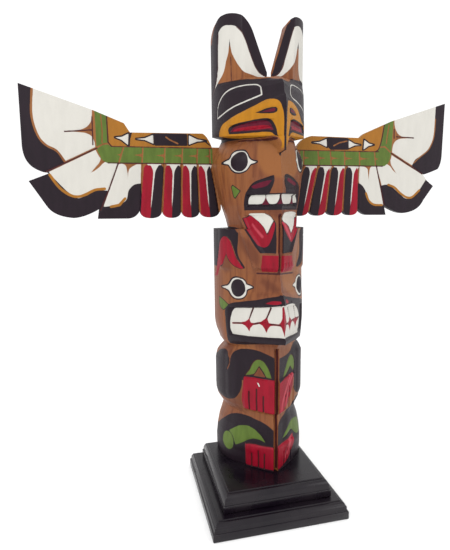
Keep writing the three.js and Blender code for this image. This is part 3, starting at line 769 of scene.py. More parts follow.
def paintEagle(canvas):
    # ears and forehead; the painted inner edges run up from the middle to the tops
    leftEdge = [
        (11.6, 414.1), (16.2, 416.4), (20.7, 420.5), (24.4, 425.5), (28.9, 432.7), (33.5, 440.5),
        (37.1, 445.5), (41.6, 451.4), (44.4, 454.5)]
    rightEdge = [
        (14.2, 415), (18.7, 418.2), (22.4, 422.7), (25.1, 429.1), (28.7, 436.4), (32.4, 444.5),
        (36, 451.8), (38.7, 456.4)]
    paint(canvas, "black", "L", [
        (-3, 400), (6, 403.2), (9.8, 405.3), (18.9, 405.9), (24.4, 406.5), (33.5, 407.7), (42.5, 408.6),
        (51.6, 409.3), (66, 409.5), (100, 409.5), (100, 357), (66, 357), (-3, 353)], smooth=False)
    paint(canvas, "black", "L", [
        (1.5, 411.6), (6.2, 412.3), *leftEdge, (56, 430), (67.5, 409), (100, 409), (100, 480), (5, 480),
        (5, 440), (-2, 416)], smooth=False)
    paint(canvas, "white", "L", [
        (86, 402.5), (76, 405.5), (71, 411), (68, 419), (66.6, 429), (66.3, 443), (66.2, 452),
        (65.3, 454.5), (62.5, 456.8), (59.8, 458), (56.2, 458.4), (51.6, 457.5), (48, 456.4),
        *reversed(leftEdge), (6.2, 412.5), (1, 411.8), (6.2, 410.9), (10.7, 411.4), (18.9, 411.8),
        (26.2, 413.2), (33.5, 414.4), (38.5, 415.5), (41.6, 419), (45.3, 424.5), (48, 430), (49.8, 434.5),
        (51.2, 445.5), (52.1, 439), (53.5, 433.6), (56.2, 428.2), (58, 422.7), (59.8, 418.2),
        (62.5, 414.5), (66.2, 411.3), (71, 408), (78, 404)])
    paint(canvas, "black", "R", [
        (0, 400.5), (5, 401.4), (14, 403.2), (20, 404.5), (32.4, 411), (41.5, 411.8), (54, 413.6),
        (100, 413.6), (100, 357), (66, 357), (-3, 353)], smooth=False)
    paint(canvas, "black", "R", [
        (3, 413), (5.5, 415.5), (7.8, 419.1), (9.6, 424.5), (13.3, 430.9), (16.9, 438.2), (20.5, 445.5),
        (24.2, 452.7), (27.8, 458.2), (32.4, 461.4), (36, 480), (100, 480), (100, 413), (56, 413),
        (50, 440), (38.7, 440), (25.1, 429.1), (18.7, 418.2), (12, 414), (7, 412.8)], smooth=False)
    paint(canvas, "white", "R", [
        (8.5, 412.9), *rightEdge, (43.3, 459.1), (47.8, 460), (52.4, 458.6), (58, 456.5), (64, 452),
        (67, 445), (68, 430), (70, 412), (58, 414.5), (56, 415.5), (50.5, 424.5), (47, 438), (45.5, 446.4),
        (44.2, 440), (43.3, 433.6), (41.5, 427.3), (37.8, 423.6), (32.4, 420), (26, 416.4), (18.7, 413.2)])
    for side, wedge in (
        ("L", [(1, 411.6), (6.2, 412.5), *leftEdge]),
        ("L", [
            (65.8, 454.5), (66.6, 443), (66.9, 429), (68.2, 419), (71.2, 411), (76.5, 405.5),
            (86, 401.5)]),
        ("R", [(8.5, 413), *rightEdge]),
    ):
        stroke(canvas, "line", side, wedge, 1.1)
        carveLine(canvas, side, wedge, 1.6, 0.5)
    crease = [(51.5, 409.5), (51.7, 418), (51.3, 430)]
    stroke(canvas, "line", "L", crease, 1.0)
    carveLine(canvas, "L", crease, 1.6, 0.7)
    # eyebrows
    brows = {
        "L": [
            (68.3, 378), (68, 386.5), (65.3, 391.5), (61, 395.5), (56, 398.6), (50, 400.6), (42.5, 401.6),
            (35, 401.8), (29, 401.3), (24, 400.2), (21, 398.4), (19.9, 395.5), (19.4, 390.3), (29, 388.2),
            (38, 386.1), (44.5, 384.6), (52, 382.4), (61, 379.6)],
        "R": [
            (68.3, 378), (68, 386.5), (65.3, 391.5), (61, 395.5), (56, 398.6), (50, 400.8), (42.5, 402.4),
            (35, 403), (29, 402.8), (23.3, 401.8), (17.8, 399.1), (15.2, 395.5), (14.6, 391),
            (17.8, 388.6), (32.4, 387.3), (44.5, 384.6), (52, 382.4), (61, 379.6)],
    }
    for side, brow in brows.items():
        closed = brow + [brow[0]]
        stroke(canvas, "white", side, closed, 1.15)
        carveLine(canvas, side, closed, 2.2, 0.5)
    # beak
    beakFoot = [(24.4, 355), (33.5, 355.6), (42.5, 356.4), (49.8, 357), (58, 358.4)]
    paint(canvas, "yellow", "L", [
        (65.3, 360.5), (64.8, 364.5), (61.6, 369.1), (58, 371.4), (51.6, 373.5), (44.4, 375.9),
        (37.1, 378.2), (29.8, 380.5), (22.5, 382.9), (18, 384.5), (14.4, 385.2), (10.7, 384.7),
        (7.1, 383.2), (4.8, 380.5), (3.5, 376.4), (2.1, 370.9), (1.5, 360.9), (1.5, 347), (1.8, 340.5),
        (2.6, 343.5), (3.6, 347), (5, 350.2), (7.6, 352.6), (12, 354), *beakFoot])
    paint(canvas, "yellow", "R", [
        (65.3, 360.5), (64.8, 362.5), (61.6, 365.1), (56, 367.5), (50, 369), (42, 369.5), (35, 371.5),
        (32.4, 373.6), (27.8, 377.3), (21.5, 380.5), (14.2, 382.3), (7.8, 382.7), (3.7, 381.8),
        (2.2, 376.4), (2, 370.9), (1.9, 360.9), (1.7, 347), (1.8, 340.5), (2.7, 343), (4, 346.5),
        (5.6, 350), (8.6, 352.6), (13, 354), *beakFoot])
    nostrils = {
        "L": [
            (24.4, 375.3), (18.9, 376.5), (15.3, 377.3), (10.7, 377.5), (8, 377.3), (6.8, 375.5),
            (7.1, 373.2), (9.8, 372.5), (15.3, 373.2), (19.8, 374.1)],
        "R": [
            (23, 373.8), (18.9, 375.6), (15.3, 376.8), (10.7, 377.3), (8, 377), (6.9, 375.5), (7.1, 373.2),
            (9.8, 372), (15.3, 372.2), (19.8, 373)],
    }
    paint(canvas, "ink", "LR", nostrils)
    carveLine(canvas, "LR", nostrils, 1.6, 0.5, closed=True)
    stroke(canvas, "ink", "L", [(0, 384), (0, 339)], 2.6, smooth=False)
    paint(canvas, "wine", "LR", [
        (19.4, 374.8), (15.3, 375.7), (9.4, 376.4), (8, 375.5), (8.9, 373.6), (14.4, 374.1)])
    paint(canvas, "ink", "LR", [
        (51.2, 364.5), (49.8, 367.3), (44.4, 368.4), (37.1, 369.1), (28.9, 369.5), (22.5, 369.7),
        (16.2, 369.4), (12.5, 368.5), (9.8, 365.5), (7.5, 360.9), (6, 353), (6.8, 352.6), (8.5, 354.5),
        (10.7, 356.7), (15.3, 357.9), (24.4, 358.5), (33.5, 359), (42.5, 359.7), (50, 360.6)])
    # dark wine round the red tongue: crimson darkened as painted shade in the recessed slit
    paint(canvas, "wine", "LR", [
        (49.4, 363.3), (47.1, 365.6), (40.7, 367.1), (31.6, 368), (22.5, 368.3), (16.2, 367.6),
        (13.5, 366), (11.2, 363), (8.9, 358.3), (13.5, 359.5), (24.4, 360.1), (33.5, 360.8), (42.5, 361.6),
        (48.9, 362.3)])
    tongue = [
        (48, 363), (44, 364.6), (34, 365), (22, 364.6), (14.5, 363.6), (10.6, 360.6), (13.5, 360.4),
        (24.4, 361), (33.5, 361.6), (42.5, 362.2)]
    erase(canvas, "wine", "LR", tongue)
    paint(canvas, "red", "LR", tongue)
    # shaded line along the lower edge of the beak
    stroke(canvas, "line", "LR", [(50, 354.6), (30, 353.2), (13, 352.6), (8, 351.2)], 1.4)


def paintSecondFigure(canvas):
    # eyes
    eyes = {
        "L": [
            (61.6, 335.5), (56, 337), (52, 338.2), (50.8, 340.5), (50.6, 343), (48, 345), (43, 345.2),
            (38, 344.6), (34, 342), (31.8, 338.5), (29.5, 336), (26.5, 334.6), (23.5, 334), (26.5, 333.2),
            (30, 332.3), (32, 330), (34.5, 327.4), (38, 326), (41.5, 325.5), (46, 326.4), (49, 328.5),
            (51, 331.5), (53, 333.6), (57, 334.6)],
        "R": [
            (61, 336), (57, 338), (55, 341), (53, 344.5), (50, 346.6), (45, 347.4), (40, 346), (37, 342.5),
            (35.8, 340), (35, 338.2), (34, 336.8), (35, 335.2), (35.8, 333.5), (37.4, 330.5), (40.5, 328),
            (45, 327), (50, 328), (53, 330.5), (55, 333), (57.5, 334.6)],
    }
    paint(canvas, "black", "LR", eyes, grow=1.3)
    paint(canvas, "white", "LR", eyes)
    spot(canvas, "ink", "L", (41.1, 335.3), (8.8, 9.0))
    spot(canvas, "ink", "R", (45, 337.4), (8.8, 9.0))
    carveLine(canvas, "LR", eyes, 2.0, 0.6, closed=True)
    paint(canvas, "gold", "L", [(22, 352), (-4, 352), (-4, 318), (14, 322), (22, 334)])
    paint(canvas, "gold", "R", [(2, 352), (34, 352), (36, 326), (24, 320), (2, 320)])
    # cheek marks
    cheek = [(51.5, 312.5), (50, 314), (42, 308.5), (48.5, 302.3), (50, 303.5)]
    paint(canvas, "black", "L", cheek, grow=0.8)
    paint(canvas, "green", "L", cheek)
    # muzzle and nostrils
    muzzles = {
        "L": [
            (38.9, 290.5), (38.5, 296.4), (37.1, 302.7), (34.4, 308.2), (29.8, 313.2), (24.4, 316.5),
            (18, 318.6), (11.6, 320.5), (7.1, 321.4), (6.8, 317.3), (8, 312.7), (10.3, 308.2),
            (12.5, 305.3), (-2, 305.3), (-2, 290.5)],
        "R": [
            (46, 290.5), (46.5, 300), (46, 308), (43, 314.5), (35, 317.8), (27.8, 320), (19.6, 322),
            (13.3, 322.7), (7.8, 321.4), (4.6, 316), (5.5, 311), (8, 305.5), (-2, 305.3), (-2, 290.5)],
    }
    paint(canvas, "black", "LR", muzzles)
    carveLine(canvas, "L", muzzles["L"][3:13], 1.8, 0.5)
    carveLine(canvas, "R", muzzles["R"][3:12], 1.8, 0.5)
    paint(canvas, "wine", "L", [
        (29.8, 312), (24.4, 313.6), (18.9, 315.3), (12.5, 316.5), (8.2, 317), (10.7, 314.5), (13.5, 311.8),
        (19.8, 310.5), (25.3, 310)])
    stroke(canvas, "red", "L", [(26, 311), (20, 311.8), (14, 313)], 1.2)
    paint(canvas, "wine", "R", [
        (8.7, 316.4), (11, 318.6), (14.2, 319.1), (18, 318), (23.3, 316.3), (32, 315.4), (36.5, 314.5),
        (30, 313.6), (23.3, 313), (16, 314.4)])
    # teeth with red gaps between them
    paint(canvas, "white", "L", [
        (34.4, 296.1), (34.3, 299.5), (33, 302.3), (30.5, 303.9), (26, 304.2), (17.2, 304.1), (17, 301.5),
        (18, 298.3), (20.5, 296.4), (24, 296)])
    paint(canvas, "white", "L", [
        (16.5, 304.1), (9, 304.2), (1.9, 304.2), (2.1, 301), (3.4, 298), (5.8, 296.1), (12.5, 296),
        (14.3, 297.6), (16, 300.6)])
    paint(canvas, "white", "R", [
        (-0.3, 304.3), (8, 304.4), (25.5, 304.9), (26.5, 302), (24.5, 298.5), (21, 296.2), (4, 296),
        (1.6, 298), (0, 301)])
    paint(canvas, "white", "R", [
        (31, 304.9), (34.5, 304.9), (36, 302), (36.8, 297.5), (33, 297), (31, 299.5)])
    paint(canvas, "wine", "L", [
        (16.8, 302.6), (15.6, 299), (13.2, 295.4), (20.4, 295.4), (18, 299)], smooth=False)
    paint(canvas, "wine", "L", [(1.4, 301), (0.4, 301), (-0.9, 298), (-3, 296), (4.6, 295.6), (2.6, 298)],
          smooth=False)
    # painted shade under the mouth
    paint(canvas, "paintedShade", "L", [(16, 292), (-6, 292), (-5, 287), (2, 284), (10, 287)])
    stroke(canvas, "line", "L", [(0.9, 305), (0.9, 299)], 1.1, smooth=False)
    paint(canvas, "wine", "R", [(28, 303), (26, 299), (21.8, 296.2), (33, 296.2), (30, 299.5)], smooth=False)
    carveLine(canvas, "L", [(16.8, 304), (17, 301), (16.8, 296.4)], 1.5, 0.7, smooth=False)
    carveLine(canvas, "L", [(1, 304), (1, 296.4)], 2.0, 0.8, smooth=False)
    carveLine(canvas, "R", [(28, 304), (28.4, 296.6)], 2.0, 0.8, smooth=False)
    # chest
    chestWhite = {
        "L": [
            (33.9, 287), (29.8, 287.7), (24.4, 287.9), (14.4, 287.5), (9.8, 284.5), (7.5, 281.1),
            (8, 279.5), (9.8, 275), (11.6, 270.5), (12.5, 268.6), (13.9, 271.4), (16.2, 275.5),
            (20.7, 280), (26.2, 283.4), (30.7, 285.6)],
        "R": [
            (1.6, 282.3), (3.3, 280), (7.8, 278.2), (12.4, 275), (16.5, 270.5), (17.8, 269), (22.4, 272.7),
            (26.9, 277.3), (32.4, 280.9), (39.6, 284.1), (40, 288), (20, 289), (6, 288), (2.6, 285)],
    }
    chestRed = {
        "L": [
            (40.7, 283.2), (37.1, 278.2), (33.5, 273.6), (28.9, 268.2), (24.4, 262.7), (20.7, 258.6),
            (16.2, 256.8), (12.5, 257.7), (10.3, 260.5), (8.5, 265.5), (7.1, 270.9), (6.2, 276.4),
            (7.1, 280), (12.5, 283), (20, 284), (30, 286), (34.4, 284.6)],
        "R": [
            (1.5, 279.5), (5.1, 272.7), (9.6, 267.3), (14.2, 263.2), (17, 261.5), (19.6, 260.9),
            (23.3, 263.6), (27.8, 268.2), (35, 275.5), (41.5, 282.7), (38, 284), (20, 282), (3, 281)],
    }
    chestBlack = {
        "L": [
            (41.9, 283.4), (38.9, 278.3), (34.5, 272), (29.5, 265.5), (25, 259), (21, 254.3), (17, 251),
            (5, 250.3), (4.8, 262), (5.2, 272), (6, 280), (12, 285), (30, 287), (36, 285)],
        "R": [
            (1.2, 281), (2.5, 272), (2.6, 251), (14.5, 251), (20, 256), (27, 264), (35, 273.5),
            (42.6, 283), (30, 284), (10, 284)],
    }
    for side in "LR":
        paint(canvas, "red", side, chestRed)
        erase(canvas, "red", side, chestWhite, grow=0.2)
    paint(canvas, "black", "LR", chestBlack)
    paint(canvas, "white", "LR", chestWhite)
    stroke(canvas, "line", "LR", {"L": chestWhite["L"][3:12], "R": chestWhite["R"][:10]}, 0.8)
    carveLine(canvas, "LR", chestWhite, 1.8, 0.5, closed=True)
    # painted highlights on the red of the chest
    stroke(canvas, "redHighlight", "L", [(28, 277.5), (17, 266.5)], 1.6)
    stroke(canvas, "redHighlight", "R", [(2, 281), (16, 264.5)], 2.4)
    # hands
    stroke(canvas, "bare", "LR", [(18.5, 250.9), (2, 251.1)], 1.1, smooth=False)
    paint(canvas, "red", "L", [
        (16.2, 249.6), (3.4, 249.9), (3.2, 234.4), (18.4, 234), (17, 241)], smooth=False)
    paint(canvas, "red", "R", [
        (1.4, 249.8), (16.6, 248.6), (19.2, 241), (26.5, 233.2), (1.2, 234)], smooth=False)
    for side, lean, fingers in (("L", 0, (7.5, 10, 12.5)), ("R", 0.3, (6, 10, 14))):
        for x in fingers:
            run = [(x, 235.5), (x + lean, 243)]
            stroke(canvas, "line", side, run, 0.5)
            carveLine(canvas, side, run, 1.4, 0.6)
    stroke(canvas, "line", "L", [(23.5, 232), (-1, 232.8)], 1.7, smooth=False)
    stroke(canvas, "line", "R", [(0, 232.8), (29, 230.6)], 1.7, smooth=False)
    stroke(canvas, "line", "L", [(1.7, 286), (1.7, 234.5)], 2.8, smooth=False)


def paintBear(canvas):
    paint(canvas, "black", "LR", [
        (44.4, 271), (42.5, 269.5), (42.8, 261.4), (43.5, 252.3), (41.6, 245), (37.1, 238.6), (36, 236),
        (42, 235), (100, 235), (100, 275), (60, 275), (46, 273.2)])
    earRed = [
        (86, 223.6), (79.6, 228.2), (76.2, 234), (73.5, 241.4), (71.2, 248.6), (68, 256.8), (65.3, 261.4),
        (61.6, 264.5), (58, 265.9), (53.5, 264.5), (50.7, 261.4), (48.9, 256.8), (47.1, 251.4),
        (45.3, 245.9), (41.6, 240.5), (38, 235.9), (41, 235.5), (46, 237.5), (50, 240.5), (53, 244),
        (56, 249), (59, 243.5), (62, 238), (66, 236.5), (70.4, 232), (73.8, 225.4)]
    paint(canvas, "red", "L", earRed)
    paint(canvas, "red", "R", [(across + 10, height) for across, height in earRed])
    paint(canvas, "bare", "LR", [
        (40, 234.6), (46, 236.8), (50, 239.8), (53, 243), (56, 248), (58.6, 243), (61.5, 237.2),
        (66, 235.5), (69.8, 231), (73.2, 224.6), (80, 222), (80, 210), (40, 210)])
    # painted shade in the notch of the ear
    paint(canvas, "paintedShade", "LR", [
        (50, 236), (53, 241), (56, 247), (59, 242), (62.5, 236), (58, 232)], grow=1.5)
    stroke(canvas, "bare", "L", [
        (55, 265.8), (50.2, 261.4), (48.2, 256.8), (46.4, 251), (44.4, 245.6), (40.8, 240)], 0.8)
    carveLine(canvas, "LR", earRed, 1.8, 0.5, closed=True)
    eye = [
        (65, 215.1), (60, 216.6), (56, 217.6), (53, 220), (51, 223), (48, 225.7), (43.5, 226.5),
        (39, 225.5), (36, 223.2), (34.7, 220.8), (31, 219.8), (28, 218.6), (31, 217.3), (34.3, 215.5),
        (35, 211.5), (38, 208), (43.5, 206.6), (48, 207.5), (51.5, 210.3), (54, 213), (58, 214.3)]
    paint(canvas, "ink", "LR", eye, grow=1.3)
    erase(canvas, "bare", "LR", eye, grow=2.2)
    erase(canvas, "ink", "LR", eye)
    paint(canvas, "white", "LR", eye)
    spot(canvas, "ink", "LR", (43, 216.8), (7.5, 8.5))
    carveLine(canvas, "LR", eye, 2.0, 0.6, closed=True)
    cheek = [(70, 204.2), (62.5, 202.6), (54, 198.9), (61.6, 192.6), (66.6, 194), (69.4, 198)]
    paint(canvas, "ink", "LR", cheek, grow=0.8)
    erase(canvas, "bare", "LR", cheek, grow=1.6)
    paint(canvas, "green", "LR", cheek)
    # lip black, teeth and the red between them; the lip black also covers the jaw's underside as painted
    # shade
    lipsAndJawShade = [
        (-3, 214.2), (0, 214.2), (6.2, 212.7), (15.3, 210.5), (24.4, 207.7), (33.5, 205.5), (42.5, 203.2),
        (48, 201.8), (53.5, 199.5), (57.1, 196.8), (58.9, 194.1), (59.8, 190.5), (59.1, 184), (58.9, 175),
        (58.5, 167.7), (57.3, 158.6), (50, 158.8), (42.5, 160), (33.5, 161.4), (24.4, 162.8),
        (10.7, 164.4), (0, 165), (-3, 165.2)]
    erase(canvas, "bare", "LR", lipsAndJawShade, grow=1)
    paint(canvas, "black", "LR", lipsAndJawShade)
    carveLine(canvas, "LR", lipsAndJawShade[2:15], 1.8, 0.45)
    teeth = {
        "L": [
            (52, 169.7), (53.3, 174), (53, 184), (51.8, 190), (49.6, 194), (46.6, 196.4), (37, 198),
            (28, 199.4), (15, 202), (4, 204.6), (-2, 204.8), (-2, 176), (1.2, 176), (8, 175),
            (15.3, 173.8), (24.4, 172.6), (33.5, 171.4), (44.4, 170.4)],
        "R": [
            (38, 171), (43, 173), (45.6, 178), (45.4, 184), (42.6, 189.4), (36, 196.2), (28, 200.4),
            (19.5, 203.4), (10, 205), (3.5, 205.6), (-2, 205.6), (-2, 176.4), (1.2, 176.2), (8, 175),
            (15.3, 173.8), (24.4, 172.4), (31, 171.4)],
    }
    middles = {
        "L": [(51, 180.5), (41.5, 182.2), (30, 183.4), (24.5, 185.3), (20, 186.4), (14, 186.2), (3.5, 187)],
        "R": [(3.5, 187.2), (12, 186.6), (20, 186.2), (31, 185.4), (44.5, 183.4)],
    }
    # red between the teeth: a wedge from above, both arms of the middle line and a spike down
    gaps = [
        [(31.5, 191.5), (34, 187), (36.5, 184.8), (42.5, 182.4), (36.8, 180.8), (34.5, 178.5), (33, 174.8),
         (31.8, 179), (29.6, 182.2), (26, 184.8), (31, 184.6), (32.2, 187)],
        [(16, 194.5), (18.6, 190.5), (21.5, 187.6), (25.5, 185.6), (21, 183.8), (19, 181), (17.4, 176.8),
         (16.2, 181), (13.8, 184.6), (9, 186), (15, 187), (16.2, 190.5)],
    ]
    thin = [[(29, 199), (30.6, 194.5), (32.4, 189)], [(13, 201.6), (14.8, 197), (17, 191.5)]]
    paint(canvas, "white", "LR", teeth)
    stroke(canvas, "red", "LR", middles, 1.8)
    stroke(canvas, "line", "LR", middles, 1.3)
    carveLine(canvas, "LR", middles, 1.8, 0.9)
    for gap, run in zip(gaps, thin):
        paint(canvas, "red", "LR", gap, smooth=False)
        erase(canvas, "line", "LR", gap, grow=-0.7, smooth=False)
        stroke(canvas, "line", "LR", run, 1.6)
        carveLine(canvas, "LR", run[:1] + [gap[1], gap[6]], 1.8, 0.9)
    paint(canvas, "red", "L", [
        (1.4, 204.7), (0, 204.7), (-1.6, 201), (-3.4, 197), (-5, 192), (-7.6, 187.6), (-4.4, 185.4),
        (-1.4, 181.5), (0, 177.4), (1.2, 181.5), (2.5, 185.3), (5.4, 187.2), (3, 190),
        (1.6, 194)], smooth=False)
    paint(canvas, "red", "L", [
        (17.5, 205.2), (10.5, 208.4), (3.4, 209.2), (2.6, 207.4), (6.2, 206), (10.7, 205.2)])
    paint(canvas, "red", "R", [(12, 206.2), (7, 209.6), (3.2, 210.6), (2.6, 208.6), (6.2, 206.6)])
    carveLine(canvas, "LR", [(17, 205.8), (10.7, 206.9), (4, 208)], 2.4, 0.8)
    # the stain is paler gold on the right of the forehead; painted shade darkens two hollows on the left
    paint(canvas, "gold", "R", [(5, 240), (22, 236), (30, 226), (30, 208), (18, 213), (6, 222)])
    paint(canvas, "paintedShade", "L", [(42, 268), (30, 262), (22, 254), (19, 246), (21, 240), (30, 245), (39, 254)])
    paint(canvas, "paintedShade", "L", [(18, 228), (8, 224), (1, 219), (3, 215), (14, 219), (20, 224)])


def paintBody(canvas):
    # black arms; the brown line on the left one is the armpit
    arms = {
        "L": [
            (100, 99), (100, 136), (84.4, 141), (78.9, 144.7), (74.4, 147.5), (69.8, 149.3), (64.4, 150.9),
            (59.8, 150.6), (57.1, 149.3), (55, 146), (53.6, 143), (52.2, 144.6), (50.5, 150.5), (48, 153),
            (44.4, 155), (36.5, 156.3), (28.9, 156.6), (22, 156), (14, 154.2), (8, 152.6), (2.4, 150.6),
            (2.2, 140), (2.2, 124), (41, 124), (41.2, 118.4), (42.5, 112.9), (44.4, 108.4), (48, 103.8),
            (53.5, 100.9), (60.7, 99.1), (87, 99)],
        "R": [
            (100, 99), (100, 136), (84.4, 143), (72, 150), (60, 156), (50, 158), (42, 157.2), (34, 155.4),
            (27.5, 151.8), (18, 150.2), (4, 150.2), (4, 124), (35, 124), (34, 116), (35, 110.5), (44, 104),
            (53.5, 100.9), (60.7, 99.1), (87, 99)],
    }
    paint(canvas, "black", "LR", arms)
    armpit = [(53.4, 144.5), (54.2, 137.5), (57.5, 131.5)]
    stroke(canvas, "bare", "L", armpit, 0.9)
    carveLine(canvas, "LR", [(53, 152), *armpit], 2.0, 0.7)
    # painted shade at the armpit and beside the left hand under the arm
    paint(canvas, "paintedShade", "LR", [(66, 158), (56, 156), (52, 151), (54.5, 145), (59, 150), (68, 152)])
    paint(canvas, "paintedShade", "L", [
        (41, 116), (41.5, 97), (46, 94), (56, 92.5), (64, 94.5), (58, 98.5), (48, 103)])
    # hands
    hands = {
        "L": [(38.5, 128.4), (39.8, 121), (40.9, 112), (41.6, 102.9), (40.7, 94.4), (1.8, 94.4), (1.8, 129)],
        "R": [(3.8, 126), (13, 128), (34, 129), (31.8, 116), (23, 103), (12.5, 95.4), (3.8, 94.6)],
    }
    paint(canvas, "red", "LR", hands, smooth=False)
    # a small white spot in the red of the left hand
    whiteSpot = [(23.2, 125.2), (20.8, 124.4), (18.8, 120.6), (20.6, 120.8)]
    erase(canvas, "red", "L", whiteSpot, smooth=False)
    paint(canvas, "white", "L", whiteSpot, smooth=False)
    for x, top in ((32.5, 113.8), (23.3, 117.5), (15.3, 111)):
        slit = [(x, 95), (x + 0.3, (95 + top) / 2), (x + 0.2, top)]
        stroke(canvas, "line", "L", slit, 1.7)
        carveLine(canvas, "LR", slit, 2.6, 1.3)
    for run in ([(28, 117), (21, 107), (18, 100)], [(20, 115), (14.5, 106), (12.5, 96.5)]):
        stroke(canvas, "line", "R", run, 0.9)
    # painted highlights on the red of the right hand
    for run in ([
        (32.5, 128), (25, 121), (19.5, 110), (15.5, 98)], [(26, 128), (19, 119.5), (10.5, 107), (8, 97)]):
        stroke(canvas, "redHighlight", "R", run, 1.8)
    arches = {
        "L": [
            (37.5, 129.5), (35, 132.7), (32.2, 136), (29, 142), (25.5, 145.8), (21.4, 147.2), (16.5, 146),
            (13, 142.8), (9.6, 137.6), (6.8, 130.4), (12.3, 130.6), (15.4, 134.8), (19, 139),
            (21.2, 141.2), (24.4, 136.4), (28, 132)],
        "R": [
            (13.5, 129), (17.4, 135), (22, 141.5), (27, 146.6), (31, 148), (35, 145.4), (38, 140.4),
            (38.5, 134), (36.6, 130), (33, 133.4), (29.6, 137), (24, 133), (19, 130)],
    }
    paint(canvas, "line", "LR", arches, grow=0.7)
    erase(canvas, "line", "LR", arches)
    paint(canvas, "green", "LR", arches)
    carveLine(canvas, "LR", arches, 1.8, 0.45, closed=True)
    paint(canvas, "bare", "L", [
        (13.5, 130.4), (17.1, 135), (21.2, 139.8), (24, 135), (27.6, 130.4)], smooth=False)
    # painted shade under the green arch
    paint(canvas, "paintedShade", "L", [(14, 130), (21.2, 140), (27.6, 130)], smooth=False)
    # dark groove down the ridge
    stroke(canvas, "line", "L", [(-1.6, 158), (-1.6, 37)], 2.4, smooth=False)


def paintLegs(canvas):
    thighs = {
        "L": [
            (100, 56), (87, 61), (82.5, 63.8), (76.2, 69.3), (69.8, 74.7), (63.5, 80.2), (57.1, 83.4),
            (49.8, 85.3), (42.5, 86), (33.5, 86), (24.4, 85), (17.1, 83.4), (10.7, 81), (6.2, 78.6),
            (2.6, 76), (2.6, 60), (2.6, 20), (100, 20)],
        "R": [
            (100, 60), (88, 76), (75, 90), (60, 97.5), (46, 100), (36, 99.4), (29.5, 97.5), (24, 93.4),
            (18.5, 89.4), (12, 87), (7, 85), (4.2, 82), (3.8, 77), (3.6, 60), (3.6, 20), (100, 20)],
    }
    crescents = {
        "L": [
            (60.5, 63.2), (56, 67.2), (52, 70.5), (47.5, 73.8), (42.5, 75.8), (37.1, 76.6), (32.5, 76.2),
            (27.5, 75), (23, 72.8), (18.5, 69.2), (15.5, 65.6), (12.8, 62), (18, 64), (23, 65),
            (29.5, 64.3), (36, 61.8), (40, 59.2), (43.5, 56.5), (48.6, 53), (50.4, 57.5), (53, 61.4),
            (56.4, 63.4)],
        "R": [
            (14.5, 64.4), (19, 69.2), (25, 73.8), (31.5, 76.8), (40, 77.4), (50, 75), (57, 70.4),
            (60, 64.6), (55, 58.4), (47, 58), (42.5, 60.8), (38, 65.4), (34, 68.4), (28, 68), (21, 65.8)],
    }
    feet = {
        "L": [(38.2, 57.9), (33.5, 58.8), (24.4, 59.3), (15.3, 58.8), (3.2, 59.3), (3.2, 36), (37.9, 36)],
        "R": [
            (3.2, 60), (15, 60.2), (27, 61.4), (36, 63.4), (36.6, 56), (33.4, 50), (28, 44), (22.5, 40),
            (12, 37.4), (3.2, 36.4)],
    }
    paint(canvas, "black", "LR", thighs)
    paint(canvas, "green", "LR", crescents)
    carveLine(canvas, "LR", crescents, 1.8, 0.45, closed=True)
    for side, middle in (("L", (59, 54)), ("R", (66, 53))):
        # a green sole with a black ring around it
        width, height, ring = 8.3, 9.4, 0.9
        erase(canvas, "green", side, ringAround(middle, (width + ring, height + ring)), smooth=False)
        spot(canvas, "green", side, middle, (width, height))
    paint(canvas, "line", "LR", feet, grow=0.8, smooth=False)
    erase(canvas, "line", "LR", feet, smooth=False)
    paint(canvas, "red", "LR", feet, smooth=False)
    for x, top in ((29.8, 49), (21.2, 53.4), (13.9, 51)):
        slit = [(x, 35), (x, (35 + top) / 2), (x, top)]
        stroke(canvas, "line", "L", slit, 1.5)
        carveLine(canvas, "LR", slit, 2.6, 1.3)
    stroke(canvas, "line", "R", [(22, 57), (17, 48), (14, 39)], 1.0)
    # painted highlights on the red of the right foot
    for run in ([(33, 63), (27, 56), (22, 46)], [(29, 61), (22, 54), (17.5, 44)]):
        stroke(canvas, "redHighlight", "R", run, 1.8)


carvePole()


# Wings: distance out from the pole's middle and height, left then right
wings = {
    "front": 39.7, "thickness": 6.0, "inner": 12.0, "featherLow": 284.0, "dip": 291.5,
    "armLow": 353.0, "bandLow": 337.5, "step": 0.8, "net": [(11.0, 283.0), (225.2, 408.2)],
    "tip": [(223.9, 407.3), (224.2, 407.3)], "tipSide": [(224.2, 352), (223.4, 350)],
    "tipLow": [(211, 330), (219, 335)], "firstEnd": [(204.5, 328.5), (200, 328.8)],
    "secondTop": [(202.5, 327.2), (205, 322.3)], "secondOuter": [(220.5, 320.2), (214, 315.8)],
    "secondSide": [(206, 297), (202, 300)], "secondLow": [(182, 285.3), (176, 285.5)],
    "secondInner": [(158.5, 293.5), (151.5, 294.5)], "thirdCorner": [(160, 284.2), (154, 283.8)],
    "thirdLow": [(131, 284), (132, 284)], "armRise": [(131.5, 375), (126, 372.5)],
    "elbow": [(126, 366.5), (120, 367.2)], "greenTop": [(159.5, 386), (160, 386.8)],
    "armEnd": [(55, 367.3), (63, 368)],
    "feathers": [(119.5, 97.3, 77.8, 59, 38), (119.5, 100.8, 81, 60.8, 40)],
    "featherTops": [(115, 93.8, 76.4, 60.4, 46), (119, 102.5, 85.5, 70, 53.5)],
    "featherLines": [[(103.6, 108), (84.8, 87.2), (68, 68.2), (52.4, 49.6)],
                     [(112.6, 110.4), (96, 92), (80, 74), (63, 56)]],
}


